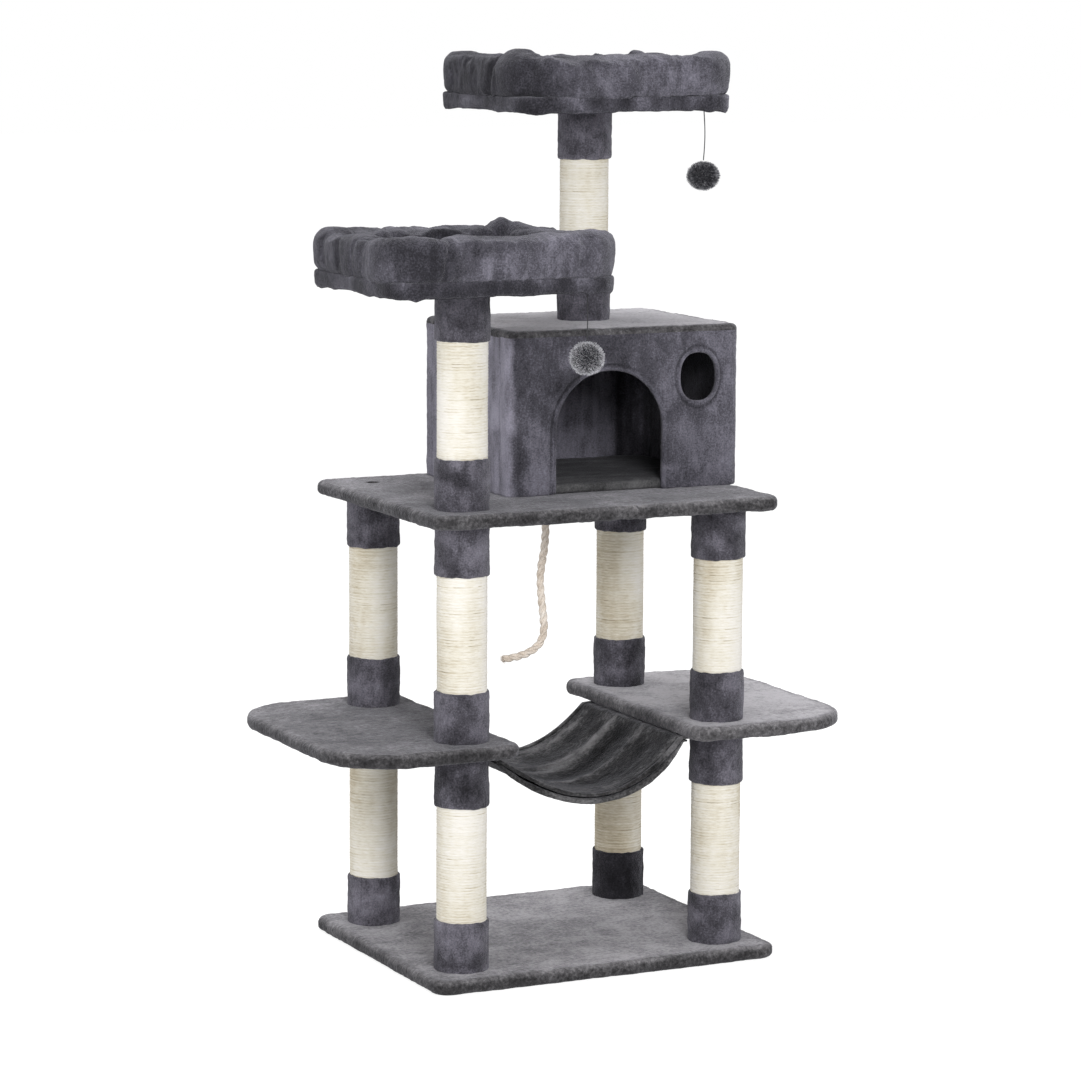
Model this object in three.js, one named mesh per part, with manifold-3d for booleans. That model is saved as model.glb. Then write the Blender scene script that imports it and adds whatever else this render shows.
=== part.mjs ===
// A floor-standing cat tree. Sisal-wound posts stand in three storeys between plush-covered
// boards, and carry a house, two padded perches, a hammock, a hanging rope and two pom-poms
// on strings. Millimetres, +Z up. The origin is the centre of the base's underside, X runs
// along the base's long edge and the front of the tree faces -Y.
import * as THREE from 'three';
import { mergeVertices } from 'three/addons/utils/BufferGeometryUtils.js';
import Module from 'manifold-3d';

const wasm = await Module();
wasm.setup();

// ---------------------------------------------------------------- driving dimensions

const FIT = 0.3; // clearance between pieces that touch
const BOARD = 16; // particle board
const PLUSH = 3; // plush on each face of a board
const EDGE = 5; // rounding of a covered board's edges

const FOOTPRINT = { width: 600, depth: 500 }; // the base and the main platform
const BASE_CORNER = 25;
const MAIN_CORNER = 30;
const SIDE = { width: 300, depth: 496, outerCorner: 112, innerCorner: 30, inward: 72.5 };

const POST = {
  length: 342, // from board to board
  radius: 40, // over the sisal
  sisal: 3, // thickness of the wound sisal
  collarRadius: 43.5, // over the plush collars
  collarHeight: 80,
  collarEdge: 2.5,
  wall: 4, // cardboard tube
  plug: 12, // end plug that holds the stud
  insetX: 74.5, // from the footprint's edges to the post's axis
  insetY: 77.5,
};

const STUD = { radius: 4, grip: 24, clearance: 1 };
const BOLT = { headRadius: 6.5, headHeight: 5, washerRadius: 10, washer: 1.6, recess: 12, sink: 4 };

const HOUSE = { width: 412, depth: 330, height: 262, corner: 14 };
const HOUSE_PANEL = { wall: 10, floor: 15, roof: 14 };
const HOUSE_PLACE = { overhang: 6, fromBack: 10 }; // past the right edge, short of the rear one
const DOOR = { radius: 96, spring: 101, fromLeft: 177 };
const WINDOW = { width: 69, height: 78, fromRight: 76, above: 180 };
const TOP_POST = { fromRight: 201, fromBack: 165 };

const PERCH = { width: 384, depth: 350, corner: 52, plush: 5 };
const BOLSTER = { width: 62, height: 60, tuft: 12, innerCorner: 14 };

const HAMMOCK = { width: 340, centreY: -20, drop: 95, cloth: 5, tab: 20, rearSlack: 0.86 };
const HAMMOCK_HOLD = { left: 25, right: 0 }; // in from the platforms' inner edges

const TOY = { insetX: 43, insetY: 45, stringRadius: 0.8, ballRadius: 24 };
const LOWER_STRING = 75;
const UPPER_STRING = 80;
const ROPE_RADIUS = 6;

const ROUND = 16; // facets around a post
const SMALL_ROUND = 8; // facets around a fastener or a hole
const CORNER_STEPS = 3; // half the facets in a board's corner
const STRING_STEPS = 4;
const ROPE_STEPS = 24;

// ---------------------------------------------------------------- places worked out

const deck = BOARD + 2 * PLUSH;
const perchDeck = BOARD + 2 * PERCH.plush;
const postX = FOOTPRINT.width / 2 - POST.insetX;
const postY = FOOTPRINT.depth / 2 - POST.insetY;
const sideZ = deck + POST.length;
const mainZ = sideZ + deck + POST.length;
const houseZ = mainZ + deck;
const lowerPerchZ = houseZ + POST.length;
const roofTopZ = houseZ + HOUSE.height;
const upperPerchZ = roofTopZ + POST.length;
const house = {
  left: FOOTPRINT.width / 2 + HOUSE_PLACE.overhang - HOUSE.width,
  right: FOOTPRINT.width / 2 + HOUSE_PLACE.overhang,
  front: FOOTPRINT.depth / 2 - HOUSE_PLACE.fromBack - HOUSE.depth,
  back: FOOTPRINT.depth / 2 - HOUSE_PLACE.fromBack,
};
const topPost = { x: house.right - TOP_POST.fromRight, y: house.back - TOP_POST.fromBack };
const sideInner = postX - SIDE.inward;

const LOOKS = {
  plush: { color: 0x55545c, roughness: 0.95 },
  houseInside: { color: 0x4b4a51, roughness: 0.95 },
  sisal: { color: 0xe9e3d2, roughness: 0.9 },
  board: { color: 0xb59468, roughness: 0.85 },
  cloth: { color: 0x39383c, roughness: 0.95 },
  rope: { color: 0xd8cdbb, roughness: 0.9 },
  string: { color: 0x2c2c2e, roughness: 0.8 },
  steel: { color: 0x9a9a9c, roughness: 0.35, metalness: 1 },
};

const tree = new THREE.Group();

function add(name, geometry, look, x = 0, y = 0, z = 0) {
  const mesh = new THREE.Mesh(geometry, new THREE.MeshStandardMaterial(LOOKS[look]));
  mesh.name = name;
  mesh.position.set(x, y, z);
  tree.add(mesh);
}

// ---------------------------------------------------------------- solids and booleans

function solid(geometry) {
  const bare = geometry.clone();
  bare.deleteAttribute('normal');
  bare.deleteAttribute('uv');
  const merged = mergeVertices(bare);
  const vertProperties = new Float32Array(merged.attributes.position.array);
  const triVerts = new Uint32Array(merged.index.array);
  return new wasm.Manifold(new wasm.Mesh({ numProp: 3, vertProperties, triVerts }));
}

function geometryOf(manifold) {
  const { vertProperties, triVerts } = manifold.getMesh();
  const geometry = new THREE.BufferGeometry();
  geometry.setAttribute('position', new THREE.BufferAttribute(vertProperties, 3));
  geometry.setIndex(new THREE.BufferAttribute(triVerts, 1));
  return geometry;
}

function bore(x, y, from, to, radius) {
  const cylinder = new THREE.CylinderGeometry(radius, radius, to - from, SMALL_ROUND);
  cylinder.rotateX(Math.PI / 2).translate(x, y, (from + to) / 2);
  return solid(cylinder);
}

function cut(geometry, tools) {
  return geometryOf(tools.reduce((rest, tool) => rest.subtract(tool), solid(geometry)));
}

function lathe(points, facets) {
  const profile = points.map(([r, z]) => new THREE.Vector2(r, z));
  return new THREE.LatheGeometry(profile, facets).rotateX(Math.PI / 2);
}

// A rectangle centred on the origin, whose left and right corners have their own radii.
function plate(width, depth, leftCorner, rightCorner) {
  const [w, d] = [width / 2, depth / 2];
  const shape = new THREE.Shape();
  shape.absarc(w - rightCorner, d - rightCorner, rightCorner, 0, Math.PI / 2);
  shape.absarc(-w + leftCorner, d - leftCorner, leftCorner, Math.PI / 2, Math.PI);
  shape.absarc(-w + leftCorner, -d + leftCorner, leftCorner, Math.PI, 1.5 * Math.PI);
  shape.absarc(w - rightCorner, -d + rightCorner, rightCorner, 1.5 * Math.PI, 2 * Math.PI);
  return shape;
}

// A slab of that plate from z = 0 up, with its upper and lower edges rounded off by edge.
function slab(width, depth, thickness, leftCorner, rightCorner, edge) {
  const shape = plate(width - 2 * edge, depth - 2 * edge, leftCorner - edge, rightCorner - edge);
  const geometry = new THREE.ExtrudeGeometry(shape, {
    depth: thickness - 2 * edge,
    curveSegments: CORNER_STEPS,
    bevelEnabled: edge > 0,
    bevelThickness: edge,
    bevelSize: edge,
    bevelSegments: 1,
  });
  return geometry.translate(0, 0, edge);
}

// ---------------------------------------------------------------- covered boards

// A particle board in a plush cover. fixings are the places of its bolts and studs: head is
// 'above' or 'below' where a bolt's head is sunk into that face, and absent for a stud.
function coveredBoard(name, size, x, y, z, fixings) {
  const { width, depth, leftCorner, rightCorner, plush } = size;
  const thickness = BOARD + 2 * plush;
  const inset = plush - FIT;
  const hole = STUD.radius + STUD.clearance;
  const holes = fixings.map((f) => bore(f.x - x, f.y - y, -1, thickness + 1, hole));
  const above = fixings.filter((f) => f.head === 'above');
  const below = fixings.filter((f) => f.head === 'below');
  const depthOfRecess = plush + BOLT.sink + BOLT.washer + BOLT.headHeight;
  const recesses = [
    ...above.map((f) => bore(f.x - x, f.y - y, thickness - depthOfRecess, thickness + 1, BOLT.recess)),
    ...below.map((f) => bore(f.x - x, f.y - y, -1, depthOfRecess, BOLT.recess)),
  ];
  const outer = slab(width, depth, thickness, leftCorner, rightCorner, EDGE);
  const inner = (gap, high) =>
    slab(width - 2 * gap, depth - 2 * gap, high, leftCorner - gap, rightCorner - gap, 0);
  const hollow = solid(inner(inset, thickness - 2 * inset).translate(0, 0, inset));
  const core = inner(plush, BOARD).translate(0, 0, plush);
  add(`${name}_board`, cut(core, [...holes, ...recesses]), 'board', x, y, z);
  add(`${name}_cover`, cut(outer, [hollow, ...holes, ...recesses]), 'plush', x, y, z);
}

const corners = [
  { place: 'front_left', x: -postX, y: -postY },
  { place: 'rear_left', x: -postX, y: postY },
  { place: 'rear_right', x: postX, y: postY },
  { place: 'front_right', x: postX, y: -postY },
];
const upperPost = corners[0];

const footprintBoard = (corner) => ({
  width: FOOTPRINT.width,
  depth: FOOTPRINT.depth,
  leftCorner: corner,
  rightCorner: corner,
  plush: PLUSH,
});
const perchBoard = {
  width: PERCH.width,
  depth: PERCH.depth,
  leftCorner: PERCH.corner,
  rightCorner: PERCH.corner,
  plush: PERCH.plush,
};
const mainFixings = corners.map((c) => (c === upperPost ? c : { ...c, head: 'above' }));

coveredBoard('base', footprintBoard(BASE_CORNER), 0, 0, 0,
  corners.map((c) => ({ ...c, head: 'below' })));
coveredBoard('main_platform', footprintBoard(MAIN_CORNER), 0, 0, mainZ, mainFixings);

for (const [name, side] of [['left_platform', -1], ['right_platform', 1]]) {
  const [outer, inner] = [SIDE.outerCorner, SIDE.innerCorner];
  const size = {
    width: SIDE.width,
    depth: SIDE.depth,
    leftCorner: side < 0 ? outer : inner,
    rightCorner: side < 0 ? inner : outer,
    plush: PLUSH,
  };
  const centre = side * (sideInner + SIDE.width / 2);
  coveredBoard(name, size, centre, 0, sideZ, corners.filter((c) => c.x * side > 0));
}

// ---------------------------------------------------------------- posts

// The cardboard tube with its end plugs and the two plush collars wrapped round its ends;
// the sisal lies in the recess between the collars.
function post(name, x, y, z) {
  const half = POST.length / 2;
  const end = half - FIT;
  const collar = half - POST.collarHeight;
  const bare = POST.radius - POST.sisal - FIT;
  const inside = bare - POST.wall;
  const hole = STUD.radius + STUD.clearance;
  const upper = [
    [bare, collar],
    [POST.collarRadius - POST.collarEdge, collar],
    [POST.collarRadius, collar + POST.collarEdge],
    [POST.collarRadius, end],
    [hole, end],
    [hole, end - POST.plug],
    [inside, end - POST.plug],
  ];
  const lower = upper.map(([r, h]) => [r, -h]).reverse();
  const tube = lathe([...lower, ...upper, lower[0]], ROUND);
  const sleeve = collar - FIT;
  const wound = [
    [POST.radius - POST.sisal, -sleeve],
    [POST.radius, -sleeve],
    [POST.radius, sleeve],
    [POST.radius - POST.sisal, sleeve],
    [POST.radius - POST.sisal, -sleeve],
  ];
  add(`${name}_tube`, tube, 'plush', x, y, z + half);
  add(`${name}_sisal`, lathe(wound, ROUND), 'sisal', x, y, z + half);
}

for (const { place, x, y } of corners) {
  post(`lower_${place}_post`, x, y, deck);
  post(`middle_${place}_post`, x, y, sideZ + deck);
}
post('upper_left_post', upperPost.x, upperPost.y, houseZ);
post('top_post', topPost.x, topPost.y, roofTopZ);

// ---------------------------------------------------------------- bolts and studs

// A bolt with its washer. seat is the height of the face under the washer, way is +1 where
// the shank points up, and reach is the shank's length.
function bolt(name, x, y, seat, way, reach) {
  const profile = [
    [0, -BOLT.washer - BOLT.headHeight],
    [BOLT.headRadius, -BOLT.washer - BOLT.headHeight],
    [BOLT.headRadius, -BOLT.washer],
    [BOLT.washerRadius, -BOLT.washer],
    [BOLT.washerRadius, 0],
    [STUD.radius, 0],
    [STUD.radius, reach],
    [0, reach],
  ];
  const geometry = lathe(profile, SMALL_ROUND);
  if (way < 0) geometry.rotateX(Math.PI);
  add(name, geometry, 'steel', x, y, seat - way * FIT);
}

function stud(name, x, y, z, thickness) {
  const length = thickness + 2 * STUD.grip;
  const rod = new THREE.CylinderGeometry(STUD.radius, STUD.radius, length, SMALL_ROUND);
  add(name, rod.rotateX(Math.PI / 2), 'steel', x, y, z + thickness / 2);
}

// The seat of a sunk bolt is the floor of its recess in the board.
const recessFloor = (plush) => plush + BOLT.sink + BOLT.washer + BOLT.headHeight;

for (const { place, x, y } of corners) {
  bolt(`base_bolt_${place}`, x, y, recessFloor(PLUSH), 1, deck - recessFloor(PLUSH) + STUD.grip);
  stud(`side_platform_stud_${place}`, x, y, sideZ, deck);
}
stud('main_platform_stud_front_left', upperPost.x, upperPost.y, mainZ, deck);
for (const { place, x, y } of [corners[1], corners[3]]) {
  const seat = houseZ - recessFloor(PLUSH);
  bolt(`main_platform_bolt_${place}`, x, y, seat, -1, seat - mainZ + STUD.grip);
}
bolt('roof_bolt', topPost.x, topPost.y, roofTopZ - HOUSE_PANEL.roof, 1, HOUSE_PANEL.roof + STUD.grip);

// ---------------------------------------------------------------- house

function housePanels() {
  const width = HOUSE.width;
  const tall = HOUSE.height - HOUSE_PANEL.roof - FIT;
  const foot = FIT;
  const midX = (house.left + house.right) / 2;
  const midY = (house.front + house.back) / 2;
  const innerDepth = HOUSE.depth - 2 * HOUSE_PANEL.wall;
  const innerWidth = width - 2 * HOUSE_PANEL.wall;

  const door = DOOR.fromLeft - width / 2;
  const face = new THREE.Shape();
  face.moveTo(-width / 2, foot);
  face.lineTo(door - DOOR.radius, foot);
  face.absarc(door, DOOR.spring, DOOR.radius, Math.PI, 0, true);
  face.lineTo(door + DOOR.radius, foot);
  face.lineTo(width / 2, foot);
  face.lineTo(width / 2, tall);
  face.lineTo(-width / 2, tall);
  const pane = new THREE.Path();
  const paneX = width / 2 - WINDOW.fromRight;
  pane.absellipse(paneX, WINDOW.above, WINDOW.width / 2, WINDOW.height / 2, 0, 2 * Math.PI);
  face.holes.push(pane);
  const front = new THREE.ExtrudeGeometry(face, {
    depth: HOUSE_PANEL.wall,
    curveSegments: 2 * CORNER_STEPS,
    bevelEnabled: false,
  });
  front.rotateX(Math.PI / 2).translate(0, HOUSE_PANEL.wall, 0);
  add('house_front_wall', front, 'plush', midX, house.front, houseZ);

  const upright = (tall + foot) / 2;
  const back = new THREE.BoxGeometry(width, HOUSE_PANEL.wall, tall - foot);
  add('house_back_wall', back, 'plush', midX, house.back - HOUSE_PANEL.wall / 2, houseZ + upright);
  for (const [name, x] of [
    ['house_left_wall', house.left + HOUSE_PANEL.wall / 2],
    ['house_right_wall', house.right - HOUSE_PANEL.wall / 2],
  ]) {
    const wall = new THREE.BoxGeometry(HOUSE_PANEL.wall, innerDepth - 2 * FIT, tall - foot);
    add(name, wall, 'plush', x, midY, houseZ + upright);
  }

  const floor = new THREE.BoxGeometry(innerWidth - 2 * FIT, innerDepth - 2 * FIT, HOUSE_PANEL.floor);
  add('house_floor', floor, 'houseInside', midX, midY, houseZ + foot + HOUSE_PANEL.floor / 2);

  const roof = slab(width, HOUSE.depth, HOUSE_PANEL.roof, HOUSE.corner, HOUSE.corner, EDGE);
  const hole = STUD.radius + STUD.clearance;
  const boltHole = bore(topPost.x - midX, topPost.y - midY, -1, HOUSE_PANEL.roof + 1, hole);
  add('house_roof', cut(roof, [boltHole]), 'plush', midX, midY, roofTopZ - HOUSE_PANEL.roof);
}

housePanels();

// ---------------------------------------------------------------- perches

// A stuffed rim: a rounded section carried round between the perch's outline and the bed's,
// standing taller where it is gathered at the corners.
function bolster() {
  const contour = (margin, corner) => {
    const [width, depth] = [PERCH.width - 2 * margin, PERCH.depth - 2 * margin];
    return plate(width, depth, corner, corner).getPoints(CORNER_STEPS);
  };
  const outside = contour(0, PERCH.corner);
  const inside = contour(BOLSTER.width, BOLSTER.innerCorner);
  // Across from inside to outside, and up: flat below, crowned above.
  const section = [[0.2, 0], [0.8, 0], [1, 0.3], [1, 0.6], [0.8, 0.93], [0.2, 0.93], [0, 0.6], [0, 0.3]];
  const ring = outside.length;
  const positions = [];
  const index = [];
  for (let i = 0; i < ring; i += 1) {
    const along = outside[(i + 1) % ring].clone().sub(outside[(i + ring - 1) % ring]).normalize();
    const turn = 1 - Math.max(Math.abs(along.x), Math.abs(along.y));
    const height = BOLSTER.height + BOLSTER.tuft * Math.min(1, turn / (1 - Math.SQRT1_2));
    for (const [across, up] of section) {
      const place = inside[i].clone().lerp(outside[i], across);
      positions.push(place.x, place.y, height * up);
    }
    const here = i * section.length;
    const next = ((i + 1) % ring) * section.length;
    for (let j = 0; j < section.length; j += 1) {
      const k = (j + 1) % section.length;
      index.push(here + j, next + j, next + k, here + j, next + k, here + k);
    }
  }
  const geometry = new THREE.BufferGeometry();
  geometry.setAttribute('position', new THREE.Float32BufferAttribute(positions, 3));
  geometry.setIndex(index);
  return geometry;
}

// A tube along a curve that starts in a ball of its own radius, about whose centre it can
// swing to any side without touching what it hangs from.
function cord(curve, radius, steps) {
  const section = new THREE.Shape();
  for (let i = 0; i < SMALL_ROUND; i += 1) {
    const angle = (2 * Math.PI * i) / SMALL_ROUND;
    const point = [radius * Math.cos(angle), radius * Math.sin(angle)];
    if (i === 0) section.moveTo(...point);
    else section.lineTo(...point);
  }
  const tube = new THREE.ExtrudeGeometry(section, { steps, extrudePath: curve, bevelEnabled: false });
  const start = curve.getPoint(0);
  const ball = new THREE.SphereGeometry(radius, SMALL_ROUND, SMALL_ROUND / 2).rotateX(Math.PI / 2);
  return geometryOf(solid(tube).add(solid(ball.translate(start.x, start.y, start.z))));
}

// A string straight down from the perch's underside, and the pom-pom on its end.
function toy(name, perchX, perchY, perchZ, length) {
  const x = perchX + PERCH.width / 2 - TOY.insetX;
  const y = perchY - PERCH.depth / 2 + TOY.insetY;
  const line = new THREE.CatmullRomCurve3([
    new THREE.Vector3(0, 0, -FIT - TOY.stringRadius),
    new THREE.Vector3(0, 0, -length / 2),
    new THREE.Vector3(0, 0, -length),
  ]);
  add(`${name}_string`, cord(line, TOY.stringRadius, STRING_STEPS), 'string', x, y, perchZ);
  const ball = new THREE.IcosahedronGeometry(TOY.ballRadius, 2);
  add(`${name}_pompom`, mergeVertices(ball), 'plush', x, y, perchZ - length - FIT - TOY.ballRadius);
}

for (const [name, x, y, z, string] of [
  ['lower_perch', upperPost.x, upperPost.y, lowerPerchZ, LOWER_STRING],
  ['upper_perch', topPost.x, topPost.y, upperPerchZ, UPPER_STRING],
]) {
  coveredBoard(name, perchBoard, x, y, z, [{ x, y, head: 'above' }]);
  const seat = z + perchDeck - recessFloor(PERCH.plush);
  bolt(`${name}_bolt`, x, y, seat, -1, seat - z + STUD.grip);
  add(`${name}_bolster`, bolster(), 'plush', x, y, z + perchDeck + FIT);
  toy(name, x, y, z, string);
}

// ---------------------------------------------------------------- hammock

// A sheet slung under the side platforms' inner edges. At each end a tab lies flat against
// the underside, and between them the sheet hangs in a lopsided curve, less deep at the rear.
function hammock() {
  const left = -sideInner - HAMMOCK_HOLD.left;
  const right = sideInner + HAMMOCK_HOLD.right;
  const cloth = HAMMOCK.cloth;
  const handle = (HAMMOCK.drop - cloth) / 0.75; // a cubic curve dips 3/4 as low as its handles
  const bulge = HAMMOCK.drop / 3;
  const dip = (x0, x1, top) =>
    new THREE.CubicBezierCurve(
      new THREE.Vector2(x0, top),
      new THREE.Vector2(x0 + bulge, top - handle),
      new THREE.Vector2(x1 - bulge, top - handle),
      new THREE.Vector2(x1, top),
    ).getPoints(5 * CORNER_STEPS);
  const outline = [
    new THREE.Vector2(left + HAMMOCK.tab, 0),
    new THREE.Vector2(left, 0),
    ...dip(left, right, -cloth),
    new THREE.Vector2(right + HAMMOCK.tab, -cloth),
    new THREE.Vector2(right + HAMMOCK.tab, 0),
    new THREE.Vector2(right - cloth, 0),
    ...dip(left + cloth, right - cloth, 0).reverse().slice(1, -1),
    new THREE.Vector2(left + cloth, -2 * cloth),
    new THREE.Vector2(left + HAMMOCK.tab, -cloth),
  ];
  const sheet = new THREE.ExtrudeGeometry(new THREE.Shape(outline), {
    depth: HAMMOCK.width,
    bevelEnabled: false,
  });
  sheet.rotateX(Math.PI / 2).translate(0, HAMMOCK.width / 2, 0);
  const at = sheet.attributes.position;
  for (let i = 0; i < at.count; i += 1) {
    const rearward = at.getY(i) / HAMMOCK.width + 0.5;
    at.setZ(i, at.getZ(i) * (1 - (1 - HAMMOCK.rearSlack) * rearward));
  }
  add('hammock', sheet, 'cloth', 0, HAMMOCK.centreY, sideZ - FIT);
}

hammock();

// ---------------------------------------------------------------- rope

// The stiff rope under the main platform: its route below the platform's underside, where it
// hangs, to the cut end that has kept its curl.
const ropeRoute = [
  [2, -ROPE_RADIUS], [2, -25], [2, -48], [0, -75], [-5, -104], [-7, -127], [-5, -155], [-1, -188],
  [0, -206], [-3, -222], [-11, -234], [-23, -242], [-36, -247], [-52, -250], [-72, -252],
].map(([x, z]) => new THREE.Vector3(x, 0, z - FIT));
const ropeCurve = new THREE.CatmullRomCurve3(ropeRoute);
add('hanging_rope', cord(ropeCurve, ROPE_RADIUS, ROPE_STEPS), 'rope', 0, 0, mainZ);

export default tree;
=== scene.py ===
"""The looks of the cat tree: plush-covered boards, sisal-wound posts, a padded house, two stuffed
perch rims, a hammock, a rope and two pom-poms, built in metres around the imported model."""
import math

import bpy
import numpy as np
from mathutils import Matrix, Vector


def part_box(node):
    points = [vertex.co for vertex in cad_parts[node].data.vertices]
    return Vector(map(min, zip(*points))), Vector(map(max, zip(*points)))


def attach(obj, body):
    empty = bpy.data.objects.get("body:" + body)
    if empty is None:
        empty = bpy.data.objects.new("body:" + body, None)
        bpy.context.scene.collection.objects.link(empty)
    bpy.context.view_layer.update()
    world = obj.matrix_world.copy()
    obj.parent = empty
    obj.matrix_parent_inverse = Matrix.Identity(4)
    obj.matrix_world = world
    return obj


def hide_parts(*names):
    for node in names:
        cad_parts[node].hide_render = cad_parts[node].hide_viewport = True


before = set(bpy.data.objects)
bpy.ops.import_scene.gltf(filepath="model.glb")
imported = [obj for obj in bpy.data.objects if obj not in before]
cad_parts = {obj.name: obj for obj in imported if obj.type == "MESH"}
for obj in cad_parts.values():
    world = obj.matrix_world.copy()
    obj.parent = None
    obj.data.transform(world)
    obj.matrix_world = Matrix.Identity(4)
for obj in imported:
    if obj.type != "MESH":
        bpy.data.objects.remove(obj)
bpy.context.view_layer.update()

MM = 0.001
QUARTER = math.pi / 2
ROUND = 2 * math.pi

PERCHES = ["lower_perch", "upper_perch"]
CORNERS = ["front_left", "rear_left", "rear_right", "front_right"]
POSTS = [f"{storey}_{corner}_post" for storey in ("lower", "middle") for corner in CORNERS]
POSTS += ["upper_left_post", "top_post"]

# ---------------------------------------------------------------- numbers and noise


def box(node):
    """The lowest corner, the highest corner, the middle and the half sizes of a CAD node."""
    low, high = np.array(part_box(node))
    return low, high, (low + high) / 2, (high - low) / 2


def rise(start, end, value):
    """0 before start, 1 past end and smooth between them; end may be the smaller."""
    t = np.clip((value - start) / (end - start), 0, 1)
    return t * t * (3 - 2 * t)


def bell(distance, width):
    return np.exp(-(distance / width) ** 2)


def unit(vectors):
    return vectors / np.linalg.norm(vectors, axis=-1, keepdims=True)


def signed_power(value, power):
    return np.sign(value) * np.abs(value) ** power


def turns(count):
    """Evenly spaced angles once round."""
    return np.linspace(0, ROUND, count, endpoint=False)


HASH = np.array([73856093, 19349663, 83492791])


def lumps(points, size, seed=0):
    """Smooth noise from -1 to 1 at each point, whose lumps are about that size (one or three)."""
    at = points / size + 13.7 * seed
    cell = np.floor(at).astype(np.int64)
    part = at - cell
    ease = part * part * (3 - 2 * part)
    total = np.zeros(len(points))
    for corner in np.ndindex(2, 2, 2):
        mix = (cell + corner) @ HASH + seed * 9176741
        mix = (mix ^ (mix >> 13)) * 1274126177 & 0x7FFFFFFF
        value = ((mix ^ (mix >> 16)) & 0xFFFF) / 0x7FFF - 1
        total += value * np.prod(np.where(corner, ease, 1 - ease), axis=1)
    return total


# ---------------------------------------------------------------- objects and camera

CAMERA_AT = (-2.7612, -5.6686, 1.5804)
CAMERA_YAW, CAMERA_DIP, CAMERA_ROLL = 0.4523, 0.1442, 0.0048
CAMERA_LENS = 131.6  # on the 36 mm sensor
CAMERA_REACH = 60


def add_object(name, data):
    made = bpy.data.objects.new(name, data)
    bpy.context.scene.collection.objects.link(made)
    return made


def add_mesh(name, points, faces):
    mesh = bpy.data.meshes.new(name)
    mesh.from_pydata(np.asarray(points).tolist(), [], [list(map(int, face)) for face in faces])
    return add_object(name, mesh)


def make_camera():
    data = bpy.data.cameras.new("camera")
    data.lens = CAMERA_LENS
    data.clip_end = CAMERA_REACH
    ahead = Vector((
        math.sin(CAMERA_YAW) * math.cos(CAMERA_DIP),
        math.cos(CAMERA_YAW) * math.cos(CAMERA_DIP),
        -math.sin(CAMERA_DIP),
    ))
    level = Vector((math.cos(CAMERA_YAW), -math.sin(CAMERA_YAW), 0))
    above = level.cross(ahead)
    right = level * math.cos(CAMERA_ROLL) + above * math.sin(CAMERA_ROLL)
    up = above * math.cos(CAMERA_ROLL) - level * math.sin(CAMERA_ROLL)
    camera = add_object("camera", data)
    turned = Matrix((right, up, -ahead)).transposed().to_4x4()
    camera.matrix_world = Matrix.Translation(CAMERA_AT) @ turned
    bpy.context.scene.camera = camera


make_camera()

# ---------------------------------------------------------------- materials


def add_node(tree, kind, inputs=None, **settings):
    """A shader node. inputs gives its sockets, by name or number, a value or another socket."""
    node = tree.nodes.new("ShaderNode" + kind)
    for key, value in settings.items():
        setattr(node, key, value)
    for key, value in (inputs or {}).items():
        if isinstance(value, bpy.types.NodeSocket):
            tree.links.new(value, node.inputs[key])
        else:
            node.inputs[key].default_value = value
    return node


class Finish:
    """A Principled material and short ways to add nodes to it."""

    def __init__(self, name, roughness, specular, uniform=None):
        self.material = bpy.data.materials.new(name)
        self.material.use_nodes = True
        self.tree = self.material.node_tree
        self.shader = self.tree.nodes["Principled BSDF"]
        uniform = {"Roughness": roughness, "Specular IOR Level": specular, **(uniform or {})}
        for key, value in uniform.items():
            self.shader.inputs[key].default_value = value
        self.places = self.add("TexCoord").outputs["Object"]

    def add(self, kind, inputs=None, **settings):
        return add_node(self.tree, kind, inputs, **settings)

    def noise(self, size, detail=3, stretch=(1, 1, 1), distortion=0.0, rough=0.55):
        mapping = self.add("Mapping", {"Vector": self.places, "Scale": [1 / s for s in stretch]})
        return self.add("TexNoise", {
            "Vector": mapping.outputs["Vector"], "Scale": 1 / size, "Detail": detail,
            "Roughness": rough, "Distortion": distortion}).outputs["Fac"]

    def number(self, name):
        """The number of that name that each point of the piece is given."""
        return self.add("Attribute", attribute_name=name).outputs["Fac"]

    def total(self, *weighted):
        """The sum of weight times value over the pairs."""
        parts = [self.add("Math", {0: value, 1: weight}, operation="MULTIPLY").outputs[0]
                 for weight, value in weighted]
        result = parts[0]
        for part in parts[1:]:
            result = self.add("Math", {0: result, 1: part}, operation="ADD").outputs[0]
        return result

    def colour(self, value, *stops):
        """Colours the surface by a value, through stops of (value, colour)."""
        ramp = self.add("ValToRGB", {"Fac": value})
        elements = ramp.color_ramp.elements
        while len(elements) < len(stops):
            elements.new(0.5)
        for element, (place, colour) in zip(elements, stops):
            element.position = place
            element.color = (*colour, 1)
        self.tree.links.new(ramp.outputs["Color"], self.shader.inputs["Base Color"])

    def bump(self, height, depth, strength=1.0):
        bump = self.add("Bump", {"Height": height, "Distance": depth, "Strength": strength})
        self.tree.links.new(bump.outputs["Normal"], self.shader.inputs["Normal"])


def sheen(weight, *tint):
    return {"Sheen Weight": weight, "Sheen Roughness": 0.4, "Sheen Tint": (*tint, 1)}


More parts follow.
